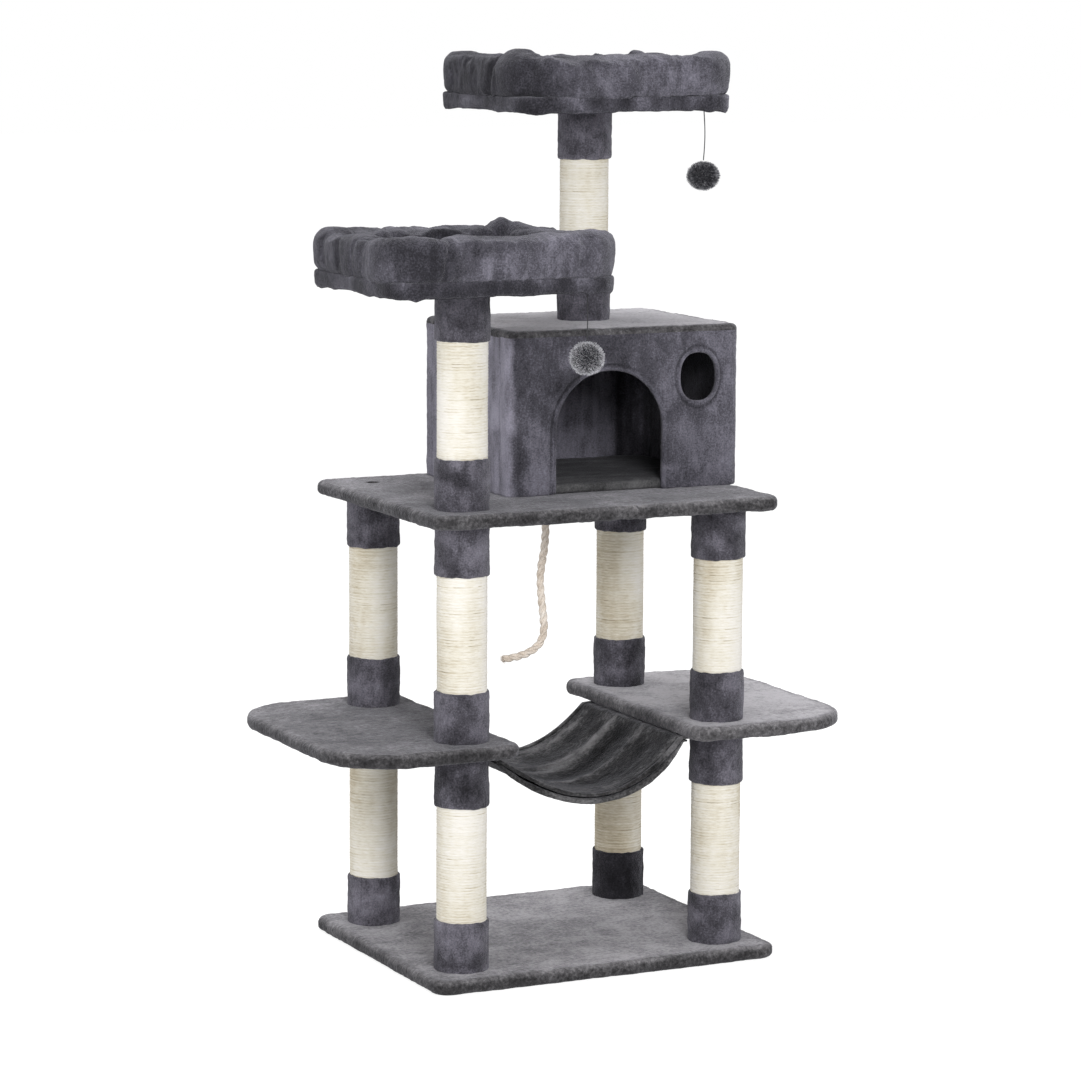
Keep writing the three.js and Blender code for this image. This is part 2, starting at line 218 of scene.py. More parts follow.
def plush(name, shades, nap=(1, 1, 1), glow=0.25, tuft=0.0028, vivid=0.43):
    """Short-pile plush: mottled where the nap lies differently, streaked along nap, and tufted.
    A number at each point, -1 to 1, darkens or lightens it: partly the nap's own tone, partly painted light
    and shade, lighter where light falls and darker in shade.
    tuft is the size of its tufts, vivid how much they differ and glow the weight of its sheen."""
    finish = Finish(name, 0.95, 0.08, sheen(glow, 0.84, 0.84, 0.92))
    patches = finish.noise(0.075, detail=4, distortion=0.8)
    streaks = finish.noise(0.010, stretch=nap, distortion=0.4, rough=0.6)
    tufts = finish.noise(tuft, rough=0.75)
    # the per-point number adds the nap's tone and painted light and shade
    value = finish.total((0.40, patches), (0.17, streaks), (vivid, tufts),
                         (0.12, finish.number("lie")), (0.43 - vivid, 0.5))
    darkest = [0.35 * part for part in shades[0]]
    finish.colour(value, *zip((0.24, 0.38, 0.50, 0.62, 0.80), (darkest, *shades)))
    finish.bump(finish.total((1.0, tufts), (0.6, streaks)), 2.4 * MM, 0.9)
    return finish.material


def along(axis, stretch=5.0):
    """How far the nap's streaks are drawn out along an axis, 0 for X to 2 for Z."""
    return tuple(stretch if i == axis else 1.0 for i in range(3))


def tinted(*greys, red, blue):
    """Shades of one plush from dark to bright, with that much more red and blue than green."""
    return [(grey * (1 + red), grey, grey * (1 + blue)) for grey in greys]


SLATE = tinted(0.027, 0.070, 0.160, 0.30, red=0.04, blue=0.22)
DECK = tinted(0.044, 0.100, 0.200, 0.42, red=0.035, blue=0.05)
DEEP = tinted(0.022, 0.066, 0.150, 0.28, red=0.05, blue=0.20)
INSIDE = tinted(0.020, 0.050, 0.110, 0.20, red=0.01, blue=0.03)
CLOTH = tinted(0.009, 0.036, 0.125, 0.24, red=0.02, blue=0.03)

DECK_PLUSH = plush("deck_plush", DECK, along(0, 3), tuft=0.006, vivid=0.56)
WALL_PLUSH = plush("wall_plush", SLATE, along(2))
COLLAR_PLUSH = plush("collar_plush", DEEP, along(2, 3))
PERCH_PLUSH = plush("perch_plush", SLATE, along(2, 2))
LINING = plush("house_lining", INSIDE, along(2, 3), glow=0.1)
HAMMOCK_CLOTH = plush("hammock_cloth", CLOTH, along(0, 2), glow=0.2, tuft=0.005)


def sisal():
    """Bleached sisal twine: fibres along the turns, darkened by painted shade where a piece's number is
    low: in the grooves and gaps between turns, and on the posts at the rear.
    """
    finish = Finish("sisal", 0.85, 0.2)
    turning = finish.noise(0.0030, detail=2, stretch=(90, 90, 1), rough=0.8)
    fibres = finish.noise(0.0011, stretch=(9, 9, 1), rough=0.7)
    stains = finish.noise(0.07, stretch=(1, 1, 2.5))
    value = finish.total((0.20, turning), (0.34, fibres), (0.46, stains), (0.3, finish.number("lie")))
    finish.colour(value, (0.18, (0.19, 0.15, 0.09)), (0.36, (0.50, 0.44, 0.33)),
                  (0.46, (0.67, 0.635, 0.545)), (0.56, (0.76, 0.735, 0.69)))
    finish.bump(fibres, 0.6 * MM, 0.9)
    return finish.material


def rope_fibre():
    finish = Finish("rope_fibre", 0.85, 0.2)
    fibres = finish.noise(0.0012, stretch=(1, 1, 5))
    finish.colour(finish.total((0.6, finish.noise(0.03)), (0.4, fibres)), (0.35, (0.50, 0.42, 0.34)),
                  (0.5, (0.72, 0.64, 0.56)), (0.68, (0.84, 0.79, 0.73)))
    finish.bump(fibres, 0.4 * MM, 0.8)
    return finish.material


def pompom_fibre():
    """Fibres with painted shade at the core and painted light towards their outer ends; a number at each
    point holds how far out it is.
    """
    finish = Finish("pompom_fibre", 0.9, 0.15, sheen(0.1, 0.9, 0.9, 0.94))
    value = finish.total((0.75, finish.number("tips")), (0.35, finish.noise(0.008, detail=2)))
    finish.colour(value, (0.3, (0.025, 0.025, 0.03)), (0.70, (0.06, 0.06, 0.07)),
                  (0.92, (0.74, 0.74, 0.78)))
    return finish.material


def grained(name, roughness, specular, depth, *stops, metallic=0.0, **grain):
    """A finish with one grain, in its colour and as relief of that depth."""
    finish = Finish(name, roughness, specular, {"Metallic": metallic})
    value = finish.noise(**grain)
    finish.colour(value, *stops)
    finish.bump(value, depth)
    return finish.material


SISAL, ROPE_FIBRE, POMPOM_FIBRE = sisal(), rope_fibre(), pompom_fibre()
DARK_CORD = grained(
    "dark_cord", 0.7, 0.3, 0.2 * MM, (0.3, (0.02, 0.02, 0.022)), (0.7, (0.05, 0.05, 0.055)),
    size=0.0012, detail=2, stretch=(1, 1, 3))
PARTICLE_BOARD = grained(
    "particle_board", 0.85, 0.25, 0.4 * MM, (0.3, (0.22, 0.14, 0.075)), (0.5, (0.42, 0.30, 0.18)),
    (0.7, (0.58, 0.45, 0.29)), size=0.006, detail=4, stretch=(2, 1, 1), rough=0.7)
CARDBOARD = grained(
    "cardboard", 0.8, 0.2, 0.2 * MM, (0.3, (0.30, 0.21, 0.13)), (0.7, (0.45, 0.34, 0.23)),
    size=0.004, stretch=(1, 1, 4))
ZINC = grained(
    "zinc", 0.35, 0.5, 0.05 * MM, (0.3, (0.42, 0.42, 0.43)), (0.7, (0.62, 0.62, 0.61)),
    metallic=1.0, size=0.0015, stretch=(6, 1, 1))

# ---------------------------------------------------------------- meshes


def grid_faces(rows, columns, close_rows=False, close_columns=False, start=0):
    """Quads over a grid of points kept row by row, facing the left of rows-then-columns."""
    index = start + np.arange(rows * columns).reshape(rows, columns)
    if close_rows:
        index = np.vstack([index, index[:1]])
    if close_columns:
        index = np.hstack([index, index[:, :1]])
    around = [index[:-1, :-1], index[:-1, 1:], index[1:, 1:], index[1:, :-1]]
    return np.stack(around, axis=-1).reshape(-1, 4)


def border(rows, columns):
    """The points round the outside of such a grid, in order."""
    index = np.arange(rows * columns).reshape(rows, columns)
    return np.concatenate([index[0, :-1], index[:-1, -1], index[-1, :0:-1], index[:0:-1, 0]])


def fan(tip, ring):
    """Triangles from one point to a closed ring of points."""
    return [[tip, a, b] for a, b in zip(ring, np.roll(ring, -1))]


def normals_of(points, faces):
    a, b, c, d = (points[faces[:, i]] for i in range(4))
    face_normals = np.cross(c - a, d - b)
    total = np.zeros_like(points)
    for i in range(4):
        np.add.at(total, faces[:, i], face_normals)
    return total / np.maximum(np.linalg.norm(total, axis=1, keepdims=True), 1e-12)


def fluffed(points, faces, layers, seed=0):
    """The points pushed along their normals by layers of (lump size, depth) noise."""
    push = sum(depth * lumps(points, size, seed + 7 * i) for i, (size, depth) in enumerate(layers))
    return points + normals_of(points, faces) * np.reshape(push, (-1, 1))


NAP = [(0.045, 0.5 * MM), (0.014, 0.55 * MM), (0.0068, 0.45 * MM), (0.0038, 0.3 * MM)]
DEEP_NAP = [(0.06, 1.4 * MM), (0.022, 1.1 * MM), (0.009, 0.6 * MM), (0.0045, 0.35 * MM)]
PERCH_NAP = [(0.05, 0.8 * MM), (0.018, 0.8 * MM), (0.008, 0.5 * MM), (0.0042, 0.35 * MM)]
CLOTH_NAP = [(0.03, 0.8 * MM), (0.010, 0.5 * MM), (0.0045, 0.3 * MM)]
WINDING_NAP = [(0.05, 0.3 * MM), (0.006, 0.12 * MM)]


def piece(name, points, faces, material, slot, body="root", replaces=(), **numbers):
    """A visible piece. numbers are those that its material reads at each point."""
    obj = add_mesh(name, points, faces)
    obj.data.polygons.foreach_set("use_smooth", np.ones(len(obj.data.polygons), bool))
    obj.data.materials.append(material)
    for key, values in numbers.items():
        attribute = obj.data.attributes.new(key, "FLOAT", "POINT")
        values = np.broadcast_to(np.asarray(values, np.float32), len(obj.data.vertices))
        attribute.data.foreach_set("value", np.ascontiguousarray(values))
    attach(obj, body)
    if replaces:
        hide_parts(*replaces)
    return obj


def pillar(x, y, low, high, radius, sides=32):
    """Points and faces of an upright cylinder."""
    ring = np.array([x, y]) + radius * np.stack([np.cos(turns(sides)), np.sin(turns(sides))], axis=1)
    points = np.vstack([np.column_stack([ring, np.full(sides, z)]) for z in (low, high)])
    walls = [[i, (i + 1) % sides, sides + (i + 1) % sides, sides + i] for i in range(sides)]
    return points, [*walls, list(range(sides))[::-1], list(range(sides, 2 * sides))]


def evaluated(obj):
    return obj.evaluated_get(bpy.context.evaluated_depsgraph_get())


def applied(obj):
    """Bakes a piece's modifiers into its mesh."""
    graph = bpy.context.evaluated_depsgraph_get()
    mesh = bpy.data.meshes.new_from_object(
        obj.evaluated_get(graph), preserve_all_data_layers=True, depsgraph=graph)
    obj.modifiers.clear()
    obj.data = mesh


def places_of(mesh):
    """The places of a mesh's points."""
    places = np.empty(len(mesh.vertices) * 3)
    mesh.vertices.foreach_get("co", places)
    return places.reshape(-1, 3)


def cut_out(obj, shapes):
    """Cuts closed shapes, each its points and faces, out of a piece."""
    points, faces = [], []
    for shape_points, shape_faces in shapes:
        faces += [[len(points) + i for i in face] for face in shape_faces]
        points += shape_points.tolist()
    tool = add_mesh("tool", points, faces)
    cut = obj.modifiers.new("cut", "BOOLEAN")
    cut.operation, cut.solver, cut.object = "DIFFERENCE", "MANIFOLD", tool
    applied(obj)
    bpy.data.objects.remove(tool)


SIM_FRAMES = 20
SKIN = {  # how the cloth behaves
    "quality": 6, "mass": 0.25, "tension_stiffness": 12, "compression_stiffness": 12,
    "shear_stiffness": 4, "bending_stiffness": 0.3, "use_pressure": True,
    "vertex_group_mass": "held",
}


def stuffed(points, faces, held, pressure, slack, cap):
    """The points of a closed skin after a short cloth simulation with stuffing's pressure in it.
    held is 1 where the skin is sewn down, slack the share of spare cloth, and cap the most that
    a point may move."""
    skin = add_mesh("skin", points, faces)
    group = skin.vertex_groups.new(name="held")
    for i, weight in enumerate(held.tolist()):
        group.add([i], weight, "REPLACE")
    cloth = skin.modifiers.new("cloth", "CLOTH")
    settings = {**SKIN, "shrink_min": -slack, "uniform_pressure_force": pressure}
    for key, value in settings.items():
        setattr(cloth.settings, key, value)
    cloth.settings.effector_weights.gravity = 0
    cloth.collision_settings.use_collision = False
    cloth.point_cache.frame_start, cloth.point_cache.frame_end = 1, SIM_FRAMES
    scene = bpy.context.scene
    for frame_number in range(1, SIM_FRAMES + 1):
        scene.frame_set(frame_number)
    shift = places_of(evaluated(skin).data) - points
    bpy.data.objects.remove(skin)
    scene.frame_set(1)
    far = np.linalg.norm(shift, axis=1, keepdims=True)
    return points + shift * np.minimum(1, cap / np.maximum(far, 1e-9))


def subdivided(points, faces):
    """Points and faces after one step of smooth subdivision."""
    coarse = add_mesh("coarse", points, faces)
    coarse.modifiers.new("smooth", "SUBSURF").levels = 1
    applied(coarse)
    fine = places_of(coarse.data)
    quads = np.empty(len(coarse.data.loops), np.int64)
    coarse.data.loops.foreach_get("vertex_index", quads)
    bpy.data.objects.remove(coarse)
    return fine, quads.reshape(-1, 4)


def reach_along(line):
    """How far along a line each of its points is."""
    return np.concatenate([[0], np.cumsum(np.linalg.norm(np.diff(line, axis=0), axis=1))])


def resampled(rows, reach, wanted):
    """The columns of rows at the wanted places along them."""
    return np.stack([np.interp(wanted, reach, column) for column in rows.T], axis=1)


SPAN_STEPS = 24  # of a smooth line from one of its knots to the next


def smooth_line(points, spacing):
    """A Catmull-Rom curve through the points, resampled evenly at about that spacing."""
    knots = np.asarray(points, float)
    ends = [2 * knots[0] - knots[1], *knots, 2 * knots[-1] - knots[-2]]
    fine = []
    for a, b, c, d in zip(ends, ends[1:], ends[2:], ends[3:]):
        for t in np.linspace(0, 1, SPAN_STEPS, endpoint=False):
            fine.append(0.5 * (
                2 * b + (c - a) * t + (2 * a - 5 * b + 4 * c - d) * t ** 2
                + (3 * b - a - 3 * c + d) * t ** 3
            ))
    fine = np.array([*fine, knots[-1]])
    reach = reach_along(fine)
    wanted = np.linspace(0, reach[-1], max(2, round(reach[-1] / spacing)) + 1)
    return resampled(fine, reach, wanted)


def tube(line, radii, sides, turn=0.0):
    """Points and faces of a closed tube along a line that runs across the Y axis. radii gives
    the radius for each row and angle, and turn twists each row."""
    ahead = unit(np.gradient(line, axis=0))
    across = unit(np.cross(ahead, (0, 1, 0)))
    other = np.cross(ahead, across)
    angle, rows = turns(sides), len(line)
    spun = angle[None, :] + np.broadcast_to(turn, rows)[:, None]
    reach = np.broadcast_to(radii(np.arange(rows)[:, None], angle[None, :]), (rows, sides))
    ring = reach[..., None] * (
        np.cos(spun)[..., None] * across[:, None] + np.sin(spun)[..., None] * other[:, None])
    points = np.vstack([(line[:, None] + ring).reshape(-1, 3), line[:1], line[-1:]])
    size, first = rows * sides, np.arange(sides)
    faces = grid_faces(rows, sides, close_columns=True).tolist()
    faces += fan(size, first[::-1]) + fan(size + 1, size - sides + first)
    return points, faces


# ---------------------------------------------------------------- cords

ROPE_RADIUS = 6 * MM
ROPE_STRAND = 3.1 * MM  # radius of one of its three strands
ROPE_FULL = 1.08  # how far its strands swell beyond that
ROPE_LAY = 0.046  # length of one full twist
ROPE_FALL = 0.3 * MM  # how far below the platform's underside it starts
ROPE_STEP, ROPE_SIDES = 1.4 * MM, 48
ROPE_ROUTE = [
    (2, 0), (2, -25), (2, -48), (0, -75), (-5, -104), (-7, -127), (-5, -155), (-1, -188),
    (0, -206), (-3, -222), (-11, -234), (-23, -242), (-36, -247), (-52, -250), (-72, -252),
]
FRAY_FIBRES, FRAY_WIDTH = 260, 0.28 * MM
FRAY_ROOT = 1.5 * MM  # how far back from the rope's end its fibres start
STRING_RADIUS = 0.8 * MM
STRING_FULL = 1.1  # how much thicker it looks
STRING_TIP = 0.15 * MM  # its radius where it leaves the perch
STRING_STEP, STRING_SIDES = 1.6 * MM, 8
POMPOM_STRANDS, POMPOM_WIDTH = 5200, 0.6 * MM
POMPOM_SPREAD = 1.16  # how far its fibres stand beyond the CAD ball
POMPOM_ROOT = 0.5  # where its fibres start, of the ball's radius
POMPOM_CORE = 0.82  # of the ball's radius
GOLDEN_TURN = math.pi * (3 - math.sqrt(5))


def make_rope():
    """Three strands laid together, round at the top and cut off bare at the end."""
    underside = box("main_platform_cover")[0][2] - ROPE_FALL
    route = [(x * MM, 0, underside + z * MM) for x, z in ROPE_ROUTE]
    line = smooth_line(route, ROPE_STEP)
    length = reach_along(line)[-1]
    reach = np.linspace(0, length, len(line))
    offset = ROPE_RADIUS - ROPE_STRAND
    entry = np.sqrt(np.clip(1 - (1 - reach / ROPE_RADIUS).clip(0, 1) ** 2, 0.02, 1))
    loose = 1 + 0.06 * lumps(line, 0.03, 3)

    def lobes(row, angle):
        near = (angle + ROUND / 6) % (ROUND / 3) - ROUND / 6
        strand = np.sqrt(ROPE_STRAND ** 2 - (offset * np.sin(near)) ** 2)
        return (offset * np.cos(near) + strand) * (entry * loose)[row] * ROPE_FULL

    points, faces = tube(line, lobes, ROPE_SIDES, turn=ROUND * reach / ROPE_LAY)
    rope = piece("rope", points, faces, ROPE_FIBRE, "rope", "rope", ["hanging_rope"])
    make_fray(line[-1], unit(line[-1] - line[-4]))


def make_fray(end, ahead):
    """The short loose fibres of the rope's cut end."""
    rng = np.random.default_rng(5)
    points, faces = [], []
    for _ in range(FRAY_FIBRES):
        spread = rng.normal(size=3) * 0.5
        start = end - ahead * FRAY_ROOT + np.cross(ahead, rng.normal(size=3)) * ROPE_RADIUS * 0.42
        way = unit(ahead + spread * 0.6)
        blade(points, faces, start, way, rng.uniform(2, 8) * MM, FRAY_WIDTH, rng)
    return piece("rope_cut_end", points, faces, ROPE_FIBRE, "rope", "rope")


def blade(points, faces, start, way, reach, width, rng, droop=0.25, tip=0.25):
    """One fibre of two quads that tapers to its tip, appended to points and faces."""
    side = np.cross(way, rng.normal(size=3))
    side *= width / 2 / max(np.linalg.norm(side), 1e-9)
    bend = np.cross(way, rng.normal(size=3)) * droop * reach
    first = len(points)
    for share, wide in ((0, 1.0), (0.6, 0.8), (1.0, tip)):
        centre = start + way * reach * share + bend * share ** 2
        points.extend([centre - side * wide, centre + side * wide])
    for i in (first, first + 2):
        faces.append([i, i + 1, i + 3, i + 2])


def make_pompom(name, body, node, squeeze, tip_light):
    """A ball of fibres standing out from a small core; squeeze flattens it from above, and
    the last argument is how much painted light the fibres' outer ends get, up to 1."""
    _, _, centre, half = box(node)
    radius = half[0]
    centre = centre + [0, 0, radius * (1 - POMPOM_SPREAD * squeeze)]
    rng = np.random.default_rng(sum(map(ord, name)))
    shape = np.array([1, 1, squeeze]) * POMPOM_SPREAD
    points, faces, tips = [], [], []
    for i in range(POMPOM_STRANDS):
        height = 1 - 2 * (i + 0.5) / POMPOM_STRANDS
        turn = i * GOLDEN_TURN
        out = np.array([math.cos(turn), math.sin(turn), 0]) * math.sqrt(1 - height ** 2)
        out[2] = height
        out = unit(out + rng.normal(size=3) * 0.10)
        clump = 1 + 0.04 * math.sin(9 * out[0] + 4 * out[2]) * math.sin(7 * out[1] - 5 * out[2])
        reach = radius * (clump * rng.uniform(0.90, 1.02) - POMPOM_ROOT)
        start = centre + out * shape * radius * POMPOM_ROOT
        blade(points, faces, start, out * shape, reach, POMPOM_WIDTH, rng, droop=0.16, tip=0.7)
        # painted shade at each fibre's root, painted light at its outer end
        tips += [0, 0, 0.5 * tip_light, 0.5 * tip_light, tip_light, tip_light]
    ball = piece(name, points, faces, POMPOM_FIBRE, "pompom", body, [node], tips=tips)
    core_points, faces = ball_mesh(14, 28, squeeze)
    core_points = centre + radius * POMPOM_CORE * core_points
    # a dark core: painted shade where the fibres crowd together
    core = piece(name + "_core", core_points, faces, POMPOM_FIBRE, "pompom", body, tips=0.3)
    return ball, core


def ball_mesh(steps, sides, squeeze):
    """Points and faces of a lumpy ball of radius 1, flattened by squeeze."""
    polar, turn = np.linspace(0, math.pi, steps + 1)[1:-1, None], turns(sides)[None, :]
    ring = np.stack(np.broadcast_arrays(
        np.sin(polar) * np.cos(turn), np.sin(polar) * np.sin(turn), np.cos(polar) * squeeze), axis=-1)
    points = np.vstack([ring.reshape(-1, 3), [[0, 0, squeeze], [0, 0, -squeeze]]])
    points *= 1 + 0.06 * lumps(points, 0.4, 2)[:, None]
    faces = grid_faces(steps - 1, sides, close_columns=True)[:, ::-1].tolist()
    top, first = len(points) - 2, np.arange(sides)
    return points, faces + fan(top, first) + fan(top + 1, (top - sides + first)[::-1])


def make_toy(perch, toy, bow, squeeze, tip_light):
    """A perch's string, bowed sideways by that much, and the pom-pom on it."""
    low, high, (x, y, _), _ = box(f"{perch}_string")
    share = np.linspace(0, 1, 9)
    heights = high[2] + (low[2] - high[2]) * share
    line = smooth_line(
        np.column_stack([x + bow * np.sin(math.pi * share), 0 * share + y, heights]), STRING_STEP)
    thick = np.full(len(line), STRING_RADIUS * STRING_FULL)
    thick[0] = STRING_TIP
    points, faces = tube(line, lambda row, angle: thick[row] + 0 * angle, STRING_SIDES)
    string = piece(f"{perch}_cord", points, faces, DARK_CORD, "string", f"{toy}_string",
                   [f"{perch}_string"])
    parts = make_pompom(f"{perch}_pompom_fur", f"{toy}_pompom", f"{perch}_pompom", squeeze, tip_light)


make_rope()
make_toy("lower_perch", "lower_toy", bow=0.6 * MM, squeeze=0.96, tip_light=1.0)
make_toy("upper_perch", "upper_toy", bow=2.2 * MM, squeeze=0.88, tip_light=0.84)

# ---------------------------------------------------------------- covered boards


def radius_at(points, radii):
    """The corner radius on each point's quarter. radii run front left, rear left, rear right,
    front right."""
    x, y = points[:, 0], points[:, 1]
    left, right = np.where(y < 0, radii[0], radii[1]), np.where(y < 0, radii[3], radii[2])
    return np.where(x < 0, left, right)


def round_corners(points, half, radii):
    """Moves a grid over a rectangle so that its corners become arcs. Returns the points and the
    arcs' centres or edges' feet."""
    r = radius_at(points, radii)[:, None]
    size = np.abs(points)
    foot = half - r
    s, t = ((size - foot).clip(0) / r).T
    far, near = np.maximum(s, t), np.minimum(s, t)
    swing = math.pi / 4 * near / np.maximum(far, 1e-9)
    swing = np.where(s >= t, swing, QUARTER - swing)
    arc = foot + r * np.stack([far * np.cos(swing), far * np.sin(swing)], axis=1)
    moved = np.where(((s > 0) & (t > 0))[:, None], arc, size)
    sign = np.sign(points) + (points == 0)
    return moved * sign, np.minimum(moved, foot) * sign


ARC_ROWS = 6  # of points over a slab's rounded edge


def slab(half, low, high, radii, edge, step, under_edge=None):
    """Points and faces of a slab with rounded corners and rounded upper and lower edges."""
    under_edge = edge if under_edge is None else under_edge
    inner = np.array(half) - edge
    across, deep = (max(4, round(2 * h / step)) for h in inner)
    grid = np.meshgrid(*(np.linspace(-h, h, n + 1) for h, n in zip(inner, (across, deep))))
    flat, feet = round_corners(np.stack(grid, axis=-1).reshape(-1, 2), inner, np.array(radii) - edge)
    loop = border(deep + 1, across + 1)
    outward = unit(flat[loop] - feet[loop])
    angles = np.linspace(0, QUARTER, ARC_ROWS + 1)[1:]
    rows = [(edge * math.sin(a), high - edge * (1 - math.cos(a))) for a in angles]
    upright = high - low - edge - under_edge
    waist = max(1, round(upright / step))
    rows += [(edge, high - edge - upright * i / waist) for i in range(1, waist)]
    rows += [(edge - under_edge * (1 - math.sin(a)), low + under_edge * (1 - math.cos(a)))
             for a in angles[::-1]]
    rings = [np.column_stack([flat[loop] + outward * out, np.full(len(loop), z)]) for out, z in rows]
    top, bottom = (np.column_stack([flat, np.full(len(flat), z)]) for z in (high, low))
    size, ring, last = len(flat), len(loop), len(flat) + len(rows) * len(loop)
    lines = [loop, *(size + i * ring + np.arange(ring) for i in range(len(rows))), last + loop]
    walls = [np.stack([upper, lower, np.roll(lower, -1), np.roll(upper, -1)], axis=1)
             for upper, lower in zip(lines, lines[1:])]
    under = grid_faces(deep + 1, across + 1, start=last)[:, ::-1]
    return np.vstack([top, *rings, bottom]), np.vstack([grid_faces(deep + 1, across + 1), *walls, under])


def inset_of(points, half, radii):
    """How far each point lies inside the rounded outline, seen from above."""
    r = radius_at(points, radii)
    dx, dy = np.abs(points[:, 0]) - (half[0] - r), np.abs(points[:, 1]) - (half[1] - r)
    return r - np.hypot(dx.clip(0), dy.clip(0)) - np.minimum(np.maximum(dx, dy), 0)


COVER_STEP = 3.1 * MM
HEM = 45 * MM  # how far the cover is turned under a board
HEM_WAVE, HEM_SOFT = 4 * MM, 1.5 * MM  # how unevenly it ends, and half the width of its edge
HEM_DEPTH = 1.2 * MM
PROUD = 0.8 * MM  # how far the pile stands beyond the CAD cover, and short of it on a perch
BOARD_CLEAR = 0.5 * MM  # least plush left over a board's face
BOARD_PAST = 0.6 * MM  # how far past a board's rim that is so
STRING_NEAR, STRING_FAR = 6 * MM, 24 * MM  # where a perch's plush is drawn up round the string
STRING_RISE = 1.5 * MM
GATHER_DEPTH = 0.8 * MM
PIT_RADIUS = 10.5 * MM  # of the hole over a sunk bolt
BOLT_HEAD = 6.6 * MM  # a bolt's head with its washer
BOLTS = {
    "base": [f"base_bolt_{corner}" for corner in CORNERS],
    "main_platform": ["main_platform_bolt_rear_left"],
    "lower_perch": ["lower_perch_bolt"],
    "upper_perch": ["upper_perch_bolt"],
}
KNOT_SIZE = 13 * MM
# Where a perch's cover is bunched under its edge, as shares of its half sizes, and how deep.
KNOTS = {
    "lower_perch": [((-0.80, -0.99), 6 * MM), ((0.96, -0.80), 4 * MM), ((0.5, 0.97), 4 * MM)],
    "upper_perch": [((-0.86, -0.97), 4 * MM), ((0.93, -0.93), 5 * MM), ((-0.9, 0.8), 4 * MM)],
}


def make_cover(name, radii, edges, layers, material, slot, sag, light_and_shade):
    """A board's plush cover. edges are the radii of its upper and lower edge, sag how far it
    hangs unevenly below, and the last argument its painted light and shade on top and round the rim."""
    low, high, centre, half = box(f"{name}_cover")
    perch = name in PERCHES
    points, faces = slab(half[:2], low[2], high[2], radii, edges[0], COVER_STEP, edges[1])
    edge, seed = max(edges), len(name)
    inset = inset_of(points, half, radii)
    under = rise(low[2] + edge, low[2], points[:, 2])
    over = rise(high[2] - edge, high[2], points[:, 2])
    rim = 1 - rise(edge * 0.4, 2.2 * edge, inset)
    hem = HEM + HEM_WAVE * lumps(points, 0.07, seed)
    points[:, 2] += under * HEM_DEPTH * rise(hem - HEM_SOFT, hem + HEM_SOFT, inset)
    hang = sum(0.4 * lumps(points, (size, size, 1), seed + 3) for size in (0.05, 0.019))
    if perch:  # flat and drawn up round the toy's string
        from_string = points[:, :2] - (box(f"{name}_string")[2] - centre)[:2]
        at_string = rise(STRING_FAR, STRING_NEAR, np.linalg.norm(from_string, axis=1))
        hang = hang * (1 - at_string)
        points[:, 2] += under * at_string * STRING_RISE
    points[:, 2] -= under * rim * sag * hang
    for knot, depth in KNOTS.get(name, []):
        apart = np.abs(points[:, :2] - np.array(knot) * half[:2]).sum(axis=1)
        points[:, 2] -= under * rim * bell(apart, KNOT_SIZE) * depth
    points[:, :2] += centre[:2]
    gathers = rim * GATHER_DEPTH * lumps(points, (0.024, 0.024, 0.12), seed + 5)
    proud = (-PROUD if perch else PROUD) + gathers
    points += normals_of(points, faces) * (proud * (1 - under))[:, None]
    points = fluffed(points, faces, layers, seed)
    if low[2] < 1 * MM:  # it stands on the floor
        points[:, 2] = points[:, 2].clip(low[2])
    board_low, board_high = box(f"{name}_board")[:2]
    inset = inset_of(points - [*centre[:2], 0], half, radii)
    at_board = inset > board_low[2] - low[2] - BOARD_PAST
    height = points[:, 2]
    below, above = at_board & (height < centre[2]), at_board & (height > centre[2])
    height[below] = height[below].clip(None, board_low[2] - BOARD_CLEAR)
    height[above] = height[above].clip(board_high[2] + BOARD_CLEAR)
    # Painted light and shade: the top lighter where light falls, the rim darker in shade, over the nap's
    # mottling.
    lie = (light_and_shade[0] + 0.4 * lumps(points, (0.17, 0.10, 1), seed + 6)) * (1 - rim)
    lie += rim * (over * light_and_shade[0] * 0.4 + (1 - over) * light_and_shade[1])
    lie += (0.9 if perch else 0.3) * lumps(points, 0.033, seed + 8)
    cover = piece(f"{name}_plush", points, faces, material, slot, replaces=[f"{name}_cover"], lie=lie)
    sink_bolts(cover, low[2], high[2], BOLTS.get(name, []))
    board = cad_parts[f"{name}_board"].data.materials
    board.clear()
    board.append(PARTICLE_BOARD)


def sink_bolts(cover, low, high, bolts):
    """Cuts the round hole over the head of each bolt sunk into a cover."""
    pits = []
    for bolt in bolts:
        bolt_low, bolt_high, (x, y, _), _ = box(bolt)
        span = (low - HEM, bolt_low[2] + BOLT_HEAD)
        if bolt_high[2] < high:
            span = (bolt_high[2] - BOLT_HEAD, high + HEM)
        pits.append(pillar(x, y, *span, PIT_RADIUS))
    if pits:
        cut_out(cover, pits)


OUTER, INNER = 112 * MM, 30 * MM  # corner radii of the platforms, outer for the side ones only
BASE_CORNER, PERCH_CORNER = 25 * MM, 52 * MM
DECK_EDGES, PERCH_EDGES = (8.5 * MM, 8.5 * MM), (5 * MM, 8.5 * MM)
BASE_SAG, DECK_SAG, PERCH_SAG = 0.6 * MM, 2.6 * MM, 5 * MM

# The last pair of each row is the painted light and shade on the board's top and round its rim.
for name, radii, sag, light_and_shade in [
    ("base", [BASE_CORNER] * 4, BASE_SAG, (1.4, -0.9)),
    ("main_platform", [INNER] * 4, DECK_SAG, (0.15, -1.1)),
    ("left_platform", [OUTER, OUTER, INNER, INNER], DECK_SAG, (-0.1, -1.3)),
    ("right_platform", [INNER, INNER, OUTER, OUTER], DECK_SAG, (2.0, -0.3)),
]:
    make_cover(name, radii, DECK_EDGES, NAP, DECK_PLUSH, "plush", sag, light_and_shade)
